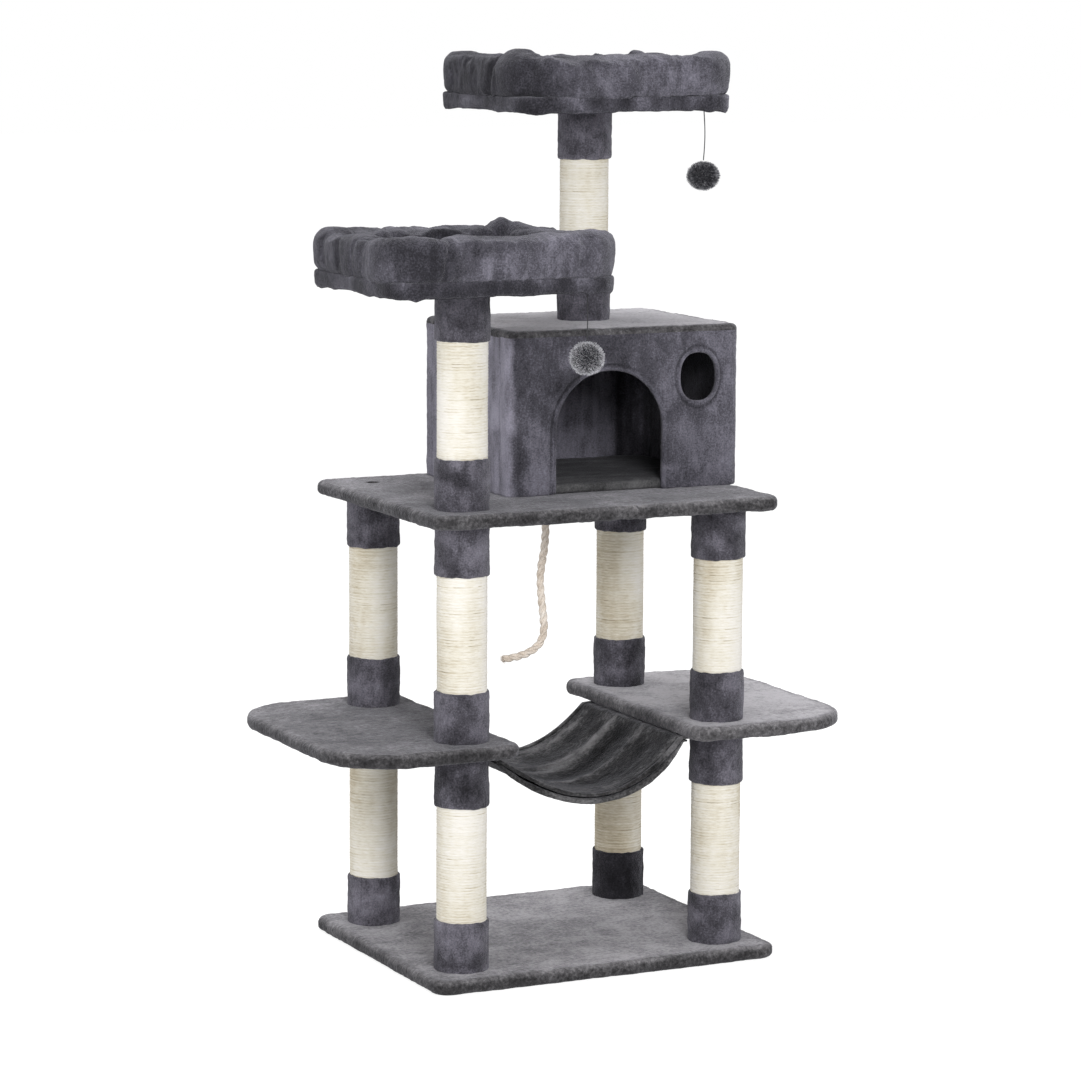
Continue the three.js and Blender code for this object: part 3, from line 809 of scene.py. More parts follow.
# The perch covers are darkened evenly on top and round the rim.
for name, lie in zip(PERCHES, (-0.75, -0.5)):
    make_cover(name, [PERCH_CORNER] * 4, PERCH_EDGES, PERCH_NAP, PERCH_PLUSH, "perch_plush",
               PERCH_SAG, (lie, lie))

# ---------------------------------------------------------------- posts

COLLAR = 80 * MM
COLLAR_RADIUS = 43 * MM
COLLAR_ROLL = 3 * MM
COLLAR_ROWS, COLLAR_SIDES = 35, 132
COLLAR_RAGGED = 0.9 * MM  # how unevenly its free end is cut
COLLAR_END = 12 * MM  # how much of it that reaches
LAP_STEP, LAP_GROOVE = 1.3 * MM, 1.0 * MM  # on the two sides of its lapped seam
COLLAR_BULGE = 0.6 * MM
SISAL_RADIUS = 39.6 * MM
SISAL_PITCH = 4.6 * MM
SISAL_DEPTH = 0.75 * MM
SISAL_ROWS, SISAL_SIDES = 6, 84  # rows to a turn of twine
GAP_SHARE = 0.2  # of the turns have a gap above them
THICK_SPREAD = 0.12  # how much the turns differ
TUBE_RADIUS = 36.6 * MM
TUBE_WALL, TUBE_SIDES = 4 * MM, 48
TUBE_SHORT = 1 * MM  # how far its ends stay short of the CAD tube's
WINDING_UNDER, WINDING_OFF = 2 * MM, 0.2 * MM  # under a collar's end, and off the cardboard
LOOSE_FIBRES, LOOSE_WIDTH = 70, 0.22 * MM
END_SHARE, END_IN = 0.45, 3 * MM  # of the loose fibres, those near an end, and how far in

# For each post, the painted light and shade of its lower and upper collar and of its twine: darker on the
# posts at the rear and where a board above shades them.
POST_LIGHT_AND_SHADE = {
    "lower_front_left_post": (0.3, -0.1, 0), "lower_rear_left_post": (0.2, -0.2, -0.07),
    "lower_rear_right_post": (-0.8, -0.3, -0.29), "lower_front_right_post": (0.2, 0.1, -0.05),
    "middle_front_left_post": (0.3, 0.1, 0), "middle_rear_left_post": (0.2, 0.2, -0.08),
    "middle_rear_right_post": (-0.2, -0.3, -0.27), "middle_front_right_post": (0.0, -0.1, 0),
    "upper_left_post": (0.2, 0.0, 0), "top_post": (0.1, 0.4, -0.03),
}


def revolved(profile, sides, shift=None):
    """A closed ring swept from a profile of (radius, height); shift(angle, height) adds to r."""
    radius, height = np.array(profile).T[..., None]
    turn = turns(sides)[None, :]
    if shift:
        radius = radius + shift(turn, height)
    points = np.stack(np.broadcast_arrays(
        radius * np.cos(turn), radius * np.sin(turn), height), axis=-1)
    faces = grid_faces(len(profile), sides, close_rows=True, close_columns=True)
    return points.reshape(-1, 3), faces


def make_collar(name, centre, board_end, way, seam, lie, seed):
    """The plush wrapped round a post's end. way is +1 where it runs up from the board."""
    outer = [(COLLAR_RADIUS, height)
             for height in np.linspace(0, COLLAR - COLLAR_ROLL, COLLAR_ROWS)]
    roll = [
        (COLLAR_RADIUS - COLLAR_ROLL * (1 - math.cos(a)), COLLAR - COLLAR_ROLL * (1 - math.sin(a)))
        for a in np.linspace(0, QUARTER, 5)[1:]
    ]

    def lap(angle, height):
        """The upper layer of the lapped seam, a step that fades out round the post, and a bulge."""
        past = (angle - seam) % ROUND
        step = LAP_STEP * np.exp(-past / 0.35) - LAP_GROOVE * np.exp(-(ROUND - past) / 0.05)
        return step + COLLAR_BULGE * np.sin(2 * angle + seed) * np.cos(5 * height / COLLAR + seed)

    profile = [(TUBE_RADIUS, 0), *outer, *roll, (TUBE_RADIUS, COLLAR)]
    points, faces = revolved(profile, COLLAR_SIDES, lap)
    if way > 0:
        faces = faces[:, ::-1]
    points[:, 2] *= way
    points += [*centre[:2], board_end]
    free_end = rise(COLLAR - COLLAR_END, COLLAR, np.abs(points[:, 2] - board_end))
    ragged = sum(COLLAR_RAGGED * lumps(points, (size, size, 1), seed) for size in (0.024, 0.009))
    points[:, 2] += way * free_end * ragged
    points = fluffed(points, faces, NAP, seed)
    lie = lie + 0.6 * lumps(points, (0.04, 0.04, 0.028), seed + 2) + 0.4 * lumps(points, 0.012, seed + 3)
    piece(name, points, faces, COLLAR_PLUSH, "collar_plush", lie=lie)


def make_post(name, seam, seed):
    """A post's cardboard tube, its two collars and its twine."""
    low, high, centre, _ = box(f"{name}_tube")
    # painted light and shade for this post's collars and twine
    lower_collar_shade, upper_collar_shade, twine_shade = POST_LIGHT_AND_SHADE[name]
    make_collar(f"{name}_lower_collar", centre, low[2], 1, seam, lower_collar_shade, seed)
    make_collar(f"{name}_upper_collar", centre, high[2], -1, seam + 0.9, upper_collar_shade, seed + 1)
    inner, foot, top = TUBE_RADIUS - TUBE_WALL, low[2] + TUBE_SHORT, high[2] - TUBE_SHORT
    profile = [(inner, foot), (TUBE_RADIUS, foot), (TUBE_RADIUS, top), (inner, top)]
    points, faces = revolved(profile, TUBE_SIDES)
    piece(f"{name}_cardboard", points + [*centre[:2], 0], faces[:, ::-1], CARDBOARD, "collar_plush",
          replaces=[f"{name}_tube"])
    wound = COLLAR - WINDING_UNDER
    make_winding(name, centre, low[2] + wound, high[2] - wound, twine_shade, seed)


def make_winding(name, centre, start, end, lie, seed):
    """The sisal twine wound round the post: one rounded ridge to a turn, some with a gap above."""
    core = TUBE_RADIUS + WINDING_OFF
    heights = np.linspace(start, end, round((end - start) / SISAL_PITCH * SISAL_ROWS))
    profile = [(core, start), *((SISAL_RADIUS, height) for height in heights), (core, end)]
    rng = np.random.default_rng(seed)
    last = int((end - start) / SISAL_PITCH) + 3
    thick = rng.normal(0, THICK_SPREAD, last + 2)
    gap_middle = rng.uniform(0, ROUND, last + 2)
    gap_depth = np.where(rng.random(last + 2) < GAP_SHARE, 1.0, 0.0)

    def laid(angle, height):
        """The number of the turn of twine, how far up it a point is, and how open its gap is."""
        phase = (height - start) / SISAL_PITCH - angle / ROUND + 1
        turn = np.clip(np.floor(phase), 0, last).astype(int)
        opened = np.clip(np.cos(angle - gap_middle[turn]), 0, 1) ** 0.5
        return turn, phase - turn, gap_depth[turn] * opened

    def ridges(angle, height):
        turn, part, gap = laid(angle, height)
        rounded = np.sqrt(np.clip(1 - (2 * part - 1) ** 2, 0, 1))
        swell = 1 + thick[turn] - 0.8 * gap * rise(0.55, 1, part)
        body = (height > start) & (height < end)
        return np.where(body, SISAL_DEPTH * (rounded * swell - 1), 0)

    points, faces = revolved(profile, SISAL_SIDES, ridges)
    _, part, gap = laid(np.arctan2(points[:, 1], points[:, 0]) % ROUND, points[:, 2])
    # Painted shade in the grooves between turns; the gaps show the cardboard's brown, darkened further by
    # painted shade.
    groove = rise(0.75, 1.0, np.abs(2 * part - 1))
    opened = -0.25 * groove - 0.8 * gap * rise(0.8, 1, part)
    points[:, :2] += centre[:2]
    points = fluffed(points, faces[:, ::-1], WINDING_NAP, seed)
    piece(f"{name}_winding", points, faces[:, ::-1], SISAL, "sisal", replaces=[f"{name}_sisal"],
          lie=lie + opened)

    make_loose_fibres(name, centre, start, end, rng)


def make_loose_fibres(name, centre, start, end, rng):
    """The ends of fibre that stick out of the twine."""
    points, faces = [], []
    for _ in range(LOOSE_FIBRES):
        turn = rng.uniform(0, ROUND)
        out = np.array([math.cos(turn), math.sin(turn), 0])
        round_way = np.array([-out[1], out[0], 0])
        at_end = rng.random() < END_SHARE
        height = rng.choice([start + END_IN, end - END_IN]) if at_end else rng.uniform(start, end)
        root = np.array([*centre[:2], height]) + out * (SISAL_RADIUS - 0.2 * MM)
        way = round_way * rng.choice([-1, 1]) + out * rng.uniform(0.02, 0.35)
        way[2] += rng.normal(0, 0.25)
        blade(points, faces, root, unit(way), rng.uniform(4, 11) * MM, LOOSE_WIDTH, rng, droop=0.3)
    piece(f"{name}_loose_fibres", points, faces, SISAL, "sisal")


for i, name in enumerate(POSTS):
    make_post(name, seam=2.2 + 1.7 * i, seed=20 + 3 * i)

# ---------------------------------------------------------------- house

HOUSE_EDGE = 1.2 * MM  # where two panels meet
ROOF_EDGE = 8 * MM
ROOF_LAP = 7 * MM  # how far the walls' plush is drawn up over the roof's rim
HOUSE_CORNER = 17 * MM  # outer radius of the upright corners
HOUSE_RETURN = 36 * MM  # how much panel is bent round a corner
HOUSE_JOINT = 2 * MM  # how far a side wall's ends lie under the bent ones
FLOOR_CORNER, FLOOR_EDGE, FLOOR_STEP = 14 * MM, 6 * MM, 4.5 * MM
ROOF_UNDER = 5.5 * MM  # radius of its lower edge
ROOF_STEP, ROOF_SWELL = 3.3 * MM, 1.5 * MM
DOOR_RADIUS, DOOR_SPRING, DOOR_FROM_LEFT = 96 * MM, 101 * MM, 177 * MM
WINDOW_HALF = np.array([33.5, 40]) * MM
WINDOW_FROM_RIGHT, WINDOW_ABOVE = 76 * MM, 180 * MM
SEAM_OUT = 8 * MM  # from an opening's edge to the crease outside its rim
SEAM_DEPTH = 2.4 * MM
SEAM_HALF_WIDTH = 2.0 * MM
TRIM_RADIUS, TRIM_SIDES, TRIM_STEP = 3.8 * MM, 16, 2.5 * MM
TRIM_UP = 4 * MM  # how far above the wall's foot the door's rim starts
TRIM_DEEP = 0.12  # how much deeper it is across the wall, and narrower along it
TRIM_BACK = 1.6 * MM  # how far its middle lies behind the wall's face
WALL_SWELL = 2.5 * MM  # of the front and back walls in the middle
FRONT_GATHERS, SIDE_GATHERS = 1.1 * MM, 1.2 * MM
FRONT_VOXEL, WALL_VOXEL = 2.6 * MM, 3.2 * MM  # the grid that the panels are meshed on
DOOR_LIGHT_TO = 246 * MM  # where painted light falling in through the door ends on the back wall's inner face, at the painted shadow of the door's right side


def arch(centre, half_width, spring, foot, count=28):
    """A door's outline from its left foot over the arch to its right foot."""
    crown_line = [(centre + half_width * math.cos(a), spring + half_width * math.sin(a))
                  for a in np.linspace(math.pi, 0, count)]
    return [(centre - half_width, foot), *crown_line, (centre + half_width, foot)]


def oval(centre, half, count=36):
    """An opening between an ellipse and a rounded rectangle."""
    across, up = np.cos(turns(count)), np.sin(turns(count))
    return list(zip(centre[0] + half[0] * signed_power(across, 0.85),
                    centre[1] + half[1] * signed_power(up, 0.85)))


def panel(outline, holes, thickness, voxel):
    """Points and faces of a flat panel with rounded rims, standing in the XZ plane. Its outer
    face is at y = 0 and looks along -Y."""
    curve = bpy.data.curves.new("panel", "CURVE")
    curve.dimensions = "2D"
    curve.fill_mode = "BOTH"
    curve.extrude = thickness / 2 - HOUSE_EDGE
    curve.bevel_depth = HOUSE_EDGE
    curve.bevel_resolution = 3
    curve.offset = -HOUSE_EDGE
    for ring in (outline, *holes):
        spline = curve.splines.new("POLY")
        spline.points.add(len(ring) - 1)
        for point, (x, z) in zip(spline.points, ring):
            point.co = (x, z, 0, 1)
        spline.use_cyclic_u = True
    flat = add_object("panel", curve)
    rough = add_object("panel_mesh", bpy.data.meshes.new_from_object(flat))
    remesh = rough.modifiers.new("voxels", "REMESH")
    remesh.mode = "VOXEL"
    remesh.voxel_size = voxel
    bpy.context.view_layer.update()
    mesh = evaluated(rough).to_mesh()
    x, z, depth = places_of(mesh).T
    faces = np.array([list(face.vertices) for face in mesh.polygons])
    for obj in (rough, flat):
        bpy.data.objects.remove(obj)
    return np.stack([x, thickness / 2 - depth, z], axis=1), faces


def bend_ends(points, half_width, radius):
    """Bends the ends of an upright panel back round corners of that outer radius."""
    x, depth, z = points.T
    straight = half_width - radius
    past = (np.abs(x) - straight).clip(0)
    angle = np.minimum(past / radius, QUARTER)
    beyond = (past - radius * QUARTER).clip(0)
    reach = radius - depth
    round_x = np.sign(x) * (straight + reach * np.sin(angle))
    round_y = radius - reach * np.cos(angle) + beyond
    return np.stack([np.where(past > 0, round_x, x), np.where(past > 0, round_y, depth), z], axis=1)


def crown(across, up, height):
    """A soft swelling that is full in the middle of a panel; across runs -1 to 1, up 0 to 1."""
    return height * (1 - across.clip(-1, 1) ** 4) * (1 - (2 * up - 1).clip(-1, 1) ** 4)


def streaked(points, across):
    """Upright brush marks that run on from panel to panel; across is 0 for X and 1 for Y."""
    total = 0
    for weight, width, height, seed in ((1, 0.011, 0.04, 60), (0.6, 0.03, 0.06, 62)):
        size = [1, 1, height]
        size[across] = width
        total = total + weight * lumps(points, size, seed)
    return total


def crease(away):
    """1 along the sewn line outside an opening's rim, fading to 0; away is from the opening."""
    return bell(away - SEAM_OUT, SEAM_HALF_WIDTH)


def outer_face(depth, thickness):
    """1 on a panel's outer face, fading to 0 towards its inner face."""
    return rise(thickness * 0.7, 0, depth)


def make_wall(side, points, faces, lie):
    piece(f"house_{side}_plush", points, faces, WALL_PLUSH, "house_plush",
          replaces=[f"house_{side}_wall"], lie=lie)


def wall_sizes(node):
    """The corners, middle and half width of a front or back wall, its thickness, foot and top,
    and how far it reaches to either side before its ends are bent."""
    low, high, centre, half = box(node)
    reach = half[0] + HOUSE_CORNER * (QUARTER - 2) + HOUSE_RETURN
    return low, high, centre, half[0], high[1] - low[1], low[2], high[2] + ROOF_LAP, reach


def make_front(door, window, floor_z):
    """The front wall with its door and window, bent round both front corners."""
    low, _, centre, half, thickness, foot, top, reach = wall_sizes("house_front_wall")
    spring = floor_z + DOOR_SPRING
    outline = [(-reach, foot), *arch(door, DOOR_RADIUS, spring, foot),
               (reach, foot), (reach, top), (-reach, top)]
    points, faces = panel(outline, [oval(window, WINDOW_HALF)], thickness, FRONT_VOXEL)
    x, depth, z = points.T
    outer = outer_face(depth, thickness)
    from_door = np.where(z < spring, np.abs(x - door), np.hypot(x - door, z - spring)) - DOOR_RADIUS
    left_of_door = rise(0.07, -0.02, x - door)
    squat = WINDOW_HALF[0] / WINDOW_HALF[1]
    from_window = np.hypot(x - window[0], (z - window[1]) * squat) - WINDOW_HALF[0]
    sewn = np.maximum(crease(from_door) * (0.35 + 0.65 * left_of_door), 0.9 * crease(from_window))
    corner = rise(half - 75 * MM, half - 20 * MM, -x)
    past_corner = -x - (half - HOUSE_CORNER)
    # Painted shade along the sewn creases and on the inner face; lighter to the right of the door and to
    # the left of it, and darker towards the top.
    lie = 0.25 * lumps(points, 0.06, 56) - 0.9 * sewn * outer - 0.4 * (1 - outer)
    lie += 0.35 * rise(door, half * 0.6, x) - 0.2 * rise(0.17, 0.23, z - floor_z)
    lie += 0.5 * rise(door - DOOR_RADIUS + 20 * MM, door - DOOR_RADIUS - 5 * MM, x)
    # Painted light on the part bent round the left corner, a painted shade line where it starts to bend,
    # and a painted highlight along the door's left edge.
    lie += (1.4 + 0.75 * streaked(points, 0)) * rise(5 * MM, 17 * MM, past_corner)
    lie -= 0.5 * bell(past_corner + 2 * MM, 9 * MM)
    lie += 0.5 * bell(from_door - 1 * MM, 3 * MM) * left_of_door
    gathers = FRONT_GATHERS * corner * lumps(points, (0.013, 1, 0.11), 55)
    swell = crown(x / half, (z - foot) / (top - foot), WALL_SWELL)
    points[:, 1] += outer * (SEAM_DEPTH * sewn - swell - gathers)
    points = bend_ends(points, half, HOUSE_CORNER) + [centre[0], low[1], 0]
    make_wall("front", fluffed(points, faces, NAP, 51), faces, lie)


def make_back():
    """The back wall, bent round both rear corners."""
    low, high, centre, half, thickness, foot, top, reach = wall_sizes("house_back_wall")
    outline = [(-reach, foot), (reach, foot), (reach, top), (-reach, top)]
    points, faces = panel(outline, [], thickness, WALL_VOXEL)
    x, depth, z = points.T
    outer = outer_face(depth, thickness)
    points[:, 1] -= outer * crown(x / half, (z - foot) / (top - foot), WALL_SWELL)
    points = bend_ends(points, half, HOUSE_CORNER) * [-1, -1, 1] + [centre[0], high[1], 0]
    points = fluffed(points, faces, NAP, 51)
    x, y, z = points.T
    # Painted light falling in through the door on the inner face, ending in the painted shadow of the
    # door's right side with a dark band at its edge; painted light on the return round the left corner.
    door_light = 1.1 - 1.3 * rise(DOOR_LIGHT_TO - 6 * MM, DOOR_LIGHT_TO + 6 * MM, x)
    door_light += 0.4 * lumps(points, (0.006, 1, 0.05), 65) - 0.6 * bell(x - DOOR_LIGHT_TO, 9 * MM)
    returned = rise(low[0] + 14 * MM, low[0] + 2 * MM, x)
    lie = np.where(y < centre[1], door_light, -0.1 + (1.5 + 0.75 * streaked(points, 1)) * returned)
    make_wall("back", points, faces, lie + 0.3 * lumps(points, (0.04, 1, 0.1), 57))


def make_side(side, front, back):
    """A side wall between the bent ends of the front and back walls."""
    low, high, _, _ = box(f"house_{side}_wall")
    thickness, foot, top = high[0] - low[0], low[2], high[2] + ROOF_LAP
    # the fourth value is the painted light on the wall's outer face
    way, x, bulge, light_and_shade, streaks = {
        "left": (-1, low[0], 3 * MM, 1.4, 0.75), "right": (1, high[0], 5 * MM, 0.1, 0.3)}[side]
    outline = [(front, foot), (back, foot), (back, top), (front, top)]
    points, faces = panel(outline, [], thickness, WALL_VOXEL)
    y, depth, z = points.T
    outer = outer_face(depth, thickness)
    share = (y - (front + back) / 2) / ((back - front) / 2)
    gathers = SIDE_GATHERS * lumps(points, (0.016, 1, 0.10), 59) * rise(0.1, -1, share)
    swell = crown(share, (z - foot) / (top - foot), bulge) + gathers
    points = np.stack([x - way * (depth - outer * swell), y, z], axis=1)
    faces = faces[:, ::way]
    points = fluffed(points, faces, NAP, 51)
    # Painted light on the outer face, most on the left wall, and painted shade on the inner face.
    lie = np.where(outer > 0.5, light_and_shade, -0.8) + streaks * streaked(points, 1)
    make_wall(side, points, faces, lie)


def make_trim(name, line):
    """The turned and rolled rim round an opening."""
    radii = TRIM_RADIUS * (1 + 0.1 * lumps(line, 0.02, len(name)))

    def rolled(row, angle):
        return radii[row] * (1 - TRIM_DEEP * np.cos(2 * angle))

    points, faces = tube(line, rolled, TRIM_SIDES)
    points[:, 1] += TRIM_BACK
    points += (lumps(points, 0.006, 9) * 0.4 * MM)[:, None] * np.array([0.6, 1, 0.6])
    piece(name, points, faces, WALL_PLUSH, "house_plush", lie=0.3)


def make_floor():
    """The plush on the house's floor, with painted shade inside and painted light near the door."""
    low, high, centre, half = box("house_floor")
    corners = [FLOOR_CORNER] * 4
    points, faces = slab(half[:2], low[2], high[2], corners, FLOOR_EDGE, FLOOR_STEP)
    points = fluffed(points + [*centre[:2], 0], faces, NAP, 61)
    # Painted shade inside the house, with painted light falling in near the door.
    lit_by_door = rise(0.09, 0.03, points[:, 1] - low[1])
    piece("house_floor_plush", points, faces, LINING, "house_lining", replaces=["house_floor"],
          lie=-0.8 + 0.9 * lit_by_door + 0.9 * lumps(points, (0.06, 0.02, 1), 63))


def make_roof():
    """The plush on the roof, a little fuller towards its middle."""
    low, high, centre, half = box("house_roof")
    corners = [HOUSE_CORNER] * 4
    points, faces = slab(half[:2], low[2], high[2], corners, ROOF_EDGE, ROOF_STEP, ROOF_UNDER)
    upper = rise(low[2], high[2], points[:, 2])
    inset = inset_of(points, half, corners)
    points[:, 2] += upper * ROOF_SWELL * rise(0, 0.03, inset)
    # Painted light on the top and a painted shade line round its rim.
    lie = 2.2 * rise(0.006, 0.02, inset) * upper - 0.6 * rise(0.012, 0.004, inset)
    lie += 0.3 * lumps(points, (0.12, 0.08, 1), 64)
    points = fluffed(points + [*centre[:2], 0], faces, NAP, 51)
    piece("house_roof_plush", points, faces, DECK_PLUSH, "house_plush", replaces=["house_roof"],
          lie=lie)


def make_house():
    """The padded house: its four walls, the rims round its door and window, floor and roof."""
    low, _, centre, half = box("house_front_wall")
    floor_z, rear = box("main_platform_cover")[1][2], box("house_back_wall")[1][1]
    door = DOOR_FROM_LEFT - half[0]
    window = np.array([half[0] - WINDOW_FROM_RIGHT, floor_z + WINDOW_ABOVE])
    make_front(door, window, floor_z)
    make_back()
    joint = HOUSE_RETURN - HOUSE_JOINT
    for side in ("left", "right"):
        make_side(side, low[1] + joint, rear - joint)
    out = TRIM_RADIUS / 2
    door_rim = arch(door, DOOR_RADIUS + out, floor_z + DOOR_SPRING, low[2] + TRIM_UP, 20)
    window_rim = oval(window, WINDOW_HALF + out, 90)
    door_rim, window_rim = (
        [(x + centre[0], low[1], z) for x, z in rim] for rim in (door_rim, window_rim))
    make_trim("house_door_trim", smooth_line(door_rim, TRIM_STEP))
    make_trim("house_window_trim", np.array([*window_rim, window_rim[0]]))
    make_floor()
    make_roof()


make_house()

# ---------------------------------------------------------------- perch rims

RIM_WIDTH = 62 * MM
RIM_PROUD = 4.5 * MM  # how far a rim's outer face stands beyond the perch's edge
RIM_TUCK = 3 * MM  # how far it is drawn in at the seam with the perch's cover
RIM_SWELL = 5 * MM  # about how much its stuffing lifts it
RIM_TALL = 60 * MM  # its usual height
RIM_CORNER = PERCH_CORNER - RIM_WIDTH / 2 + 22 * MM
RIM_COUNT, RIM_SIDES = 240, 32
RIM_PRESSURE, RIM_SLACK, RIM_CAP = 1.8, 0.05, 7 * MM  # of its stuffing
RIM_SUNK = 0.5 * MM  # into the perch's cover
RIM_FOLD = 0.8 * MM  # depth of a fold of 1
RIM_LIP, RIM_LIP_WAVE = 9, 4  # in mm, how far its foot droops outside, and how unevenly
PINCH_IN, PINCH_DOWN = 0.9, 0.8  # how much of a pinch's depth is drawn in, and down on top
TALL_BLUR, FOLD_BLUR, LIGHT_BLUR = 5, 9, 25  # places that the given values are smoothed over


def rim_contour(half):
    """Evenly spaced points along a rounded rectangle, from the middle of its front edge towards
    the right, with their outward directions and the length round it."""
    fine = [(0, -half[1], 0, -1)]
    for (sx, sy), first in (((1, -1), -90), ((1, 1), 0), ((-1, 1), 90), ((-1, -1), 180)):
        foot = np.array([sx, sy]) * (half - RIM_CORNER)
        for a in np.radians(np.linspace(first, first + 90, 25)):
            out = np.array([math.cos(a), math.sin(a)])
            fine.append((*(foot + RIM_CORNER * out), *out))
    fine = np.array([*fine, fine[0]])
    reach = reach_along(fine[:, :2])
    line = resampled(fine, reach, np.linspace(0, reach[-1], RIM_COUNT, endpoint=False))
    return line[:, :2], unit(line[:, 2:]), reach[-1]


def blurred(values, kernel):
    """Values round the rim, smoothed by a kernel."""
    return np.convolve(np.tile(values, 3), kernel / kernel.sum(), "same")[RIM_COUNT:2 * RIM_COUNT]


def along_rim(knots, blur):
    """The value at each place round the rim, from knots of (turn, value) and smoothed."""
    turn = np.linspace(0, 1, RIM_COUNT, endpoint=False)
    return blurred(np.interp(turn, *np.array(knots).T, period=1), np.hanning(blur))


def rim_skin(line, out, tall, pinches):
    """Points and faces of a rim that stands on height 0, before it is stuffed, and how firmly
    each point is sewn down."""
    turn = np.linspace(0, 1, RIM_COUNT, endpoint=False)[:, None]
    angle = turns(RIM_SIDES)[None, :]
    outward = signed_power(np.cos(angle), np.where(np.cos(angle) > 0, 0.5, 0.8))
    share = (1 + signed_power(np.sin(angle), 0.72)) / 2
    across = outward * (RIM_WIDTH / 2) + RIM_PROUD * outward.clip(0)
    across = across - RIM_TUCK * outward * bell(share, 0.12)
    up = (along_rim(tall, TALL_BLUR)[:, None] * MM - RIM_SWELL) * share
    sewn = bell(share, 0.1) + 0 * turn
    for place, depth, spread, slant in pinches:
        apart = (turn - place - slant * (share - 0.5) + 0.5) % 1 - 0.5
        pull = depth * MM * bell(apart, spread)
        across = across - outward * pull * PINCH_IN
        up = up - pull * rise(0.15, 0.7, share) * PINCH_DOWN
        sewn = sewn + depth / 9 * bell(apart, spread / 2)
    points = np.dstack([line[:, None] + out[:, None] * across[..., None], up]).reshape(-1, 3)
    faces = grid_faces(RIM_COUNT, RIM_SIDES, close_rows=True, close_columns=True)
    return points, faces, sewn.clip(0, 1).ravel()


def nearest_of(line, flat):
    """For each flat point the number of the line's nearest point, worked out a part at a time."""
    return np.concatenate([
        np.argmin(((part[:, None] - line) ** 2).sum(axis=2), axis=1)
        for part in np.array_split(flat, 40)])


def make_bolster(perch, seed, tall, pinches, creased, light_and_shade):
    """A stuffed rim. tall gives its height in mm round the perch at turns of 0 to 1 from the
    middle of the front edge, anticlockwise from above, creased the depth of its folds in mm, and
    the last argument its painted light and shade, darkest on its left side, at turns. pinches are (turn,
    depth, half width, slant)."""
    low, _, centre, half = box(f"{perch}_bolster")
    floor = low[2]
    line, out, length = rim_contour(half[:2] - RIM_WIDTH / 2)
    points, faces, held = rim_skin(line, out, tall, pinches)
    points = points + [*centre[:2], floor - RIM_SUNK]
    points = stuffed(points, faces, held, RIM_PRESSURE, RIM_SLACK, RIM_CAP)
    points, faces = subdivided(points, faces)
    flat = points[:, :2] - centre[:2]
    nearest = nearest_of(line, flat)
    outside = ((flat - line[nearest]) * out[nearest]).sum(axis=1)

    # Its top is brought to the given height, less so at its two sides.
    top = np.zeros(RIM_COUNT)
    np.maximum.at(top, nearest, points[:, 2] - floor)
    share = (points[:, 2] - floor) / blurred(top, np.ones(5))[nearest]
    taller = along_rim(tall, TALL_BLUR)[nearest] * MM - RIM_TALL
    inward = (outside / RIM_WIDTH * 2).clip(-1, 1) ** 2
    points[:, 2] = floor + share * (RIM_TALL + taller * (1 - 0.7 * inward))

    # It is creased above its foot, and its foot droops over the perch's edge.
    place = np.column_stack([nearest * length / RIM_COUNT, points[:, 2] * 0.18, 0 * outside])
    creases = along_rim(creased, FOLD_BLUR)[nearest]
    folds = RIM_FOLD * creases * sum(lumps(place, size, seed + 4) for size in (0.045, 0.022))
    free = rise(floor + 2 * MM, floor + 18 * MM, points[:, 2])
    points += normals_of(points, faces) * (folds * free)[:, None]
    lip = rise(6 * MM, 26 * MM, outside) * rise(floor + 28 * MM, floor + 4 * MM, points[:, 2])
    points[:, 2] -= lip * (RIM_LIP + RIM_LIP_WAVE * lumps(place, 0.06, seed + 7)) * MM
    points = fluffed(points, faces, DEEP_NAP, seed)
    hanging = rise(RIM_WIDTH / 2 - 4 * MM, RIM_WIDTH / 2, outside)
    points[:, 2] = np.maximum(points[:, 2], floor - 1.2 * MM - 6 * MM * hanging)
    # Painted shade on the inner face, which faces the perch, and painted light and shade round the rim.
    within = rise(2 * MM, -14 * MM, outside)
    streaks = (0.25 + 0.25 * creases) * lumps(place, 0.007, seed + 6)
    lie = (along_rim(light_and_shade, LIGHT_BLUR)[nearest] + streaks) * (1 - within) - 0.9 * within
    lie += 0.4 * lumps(points, (0.05, 0.05, 0.035), seed + 5)
    rim = piece(f"{perch}_rim", points, faces, PERCH_PLUSH, "bolster_plush",
                replaces=[f"{perch}_bolster"], lie=lie)


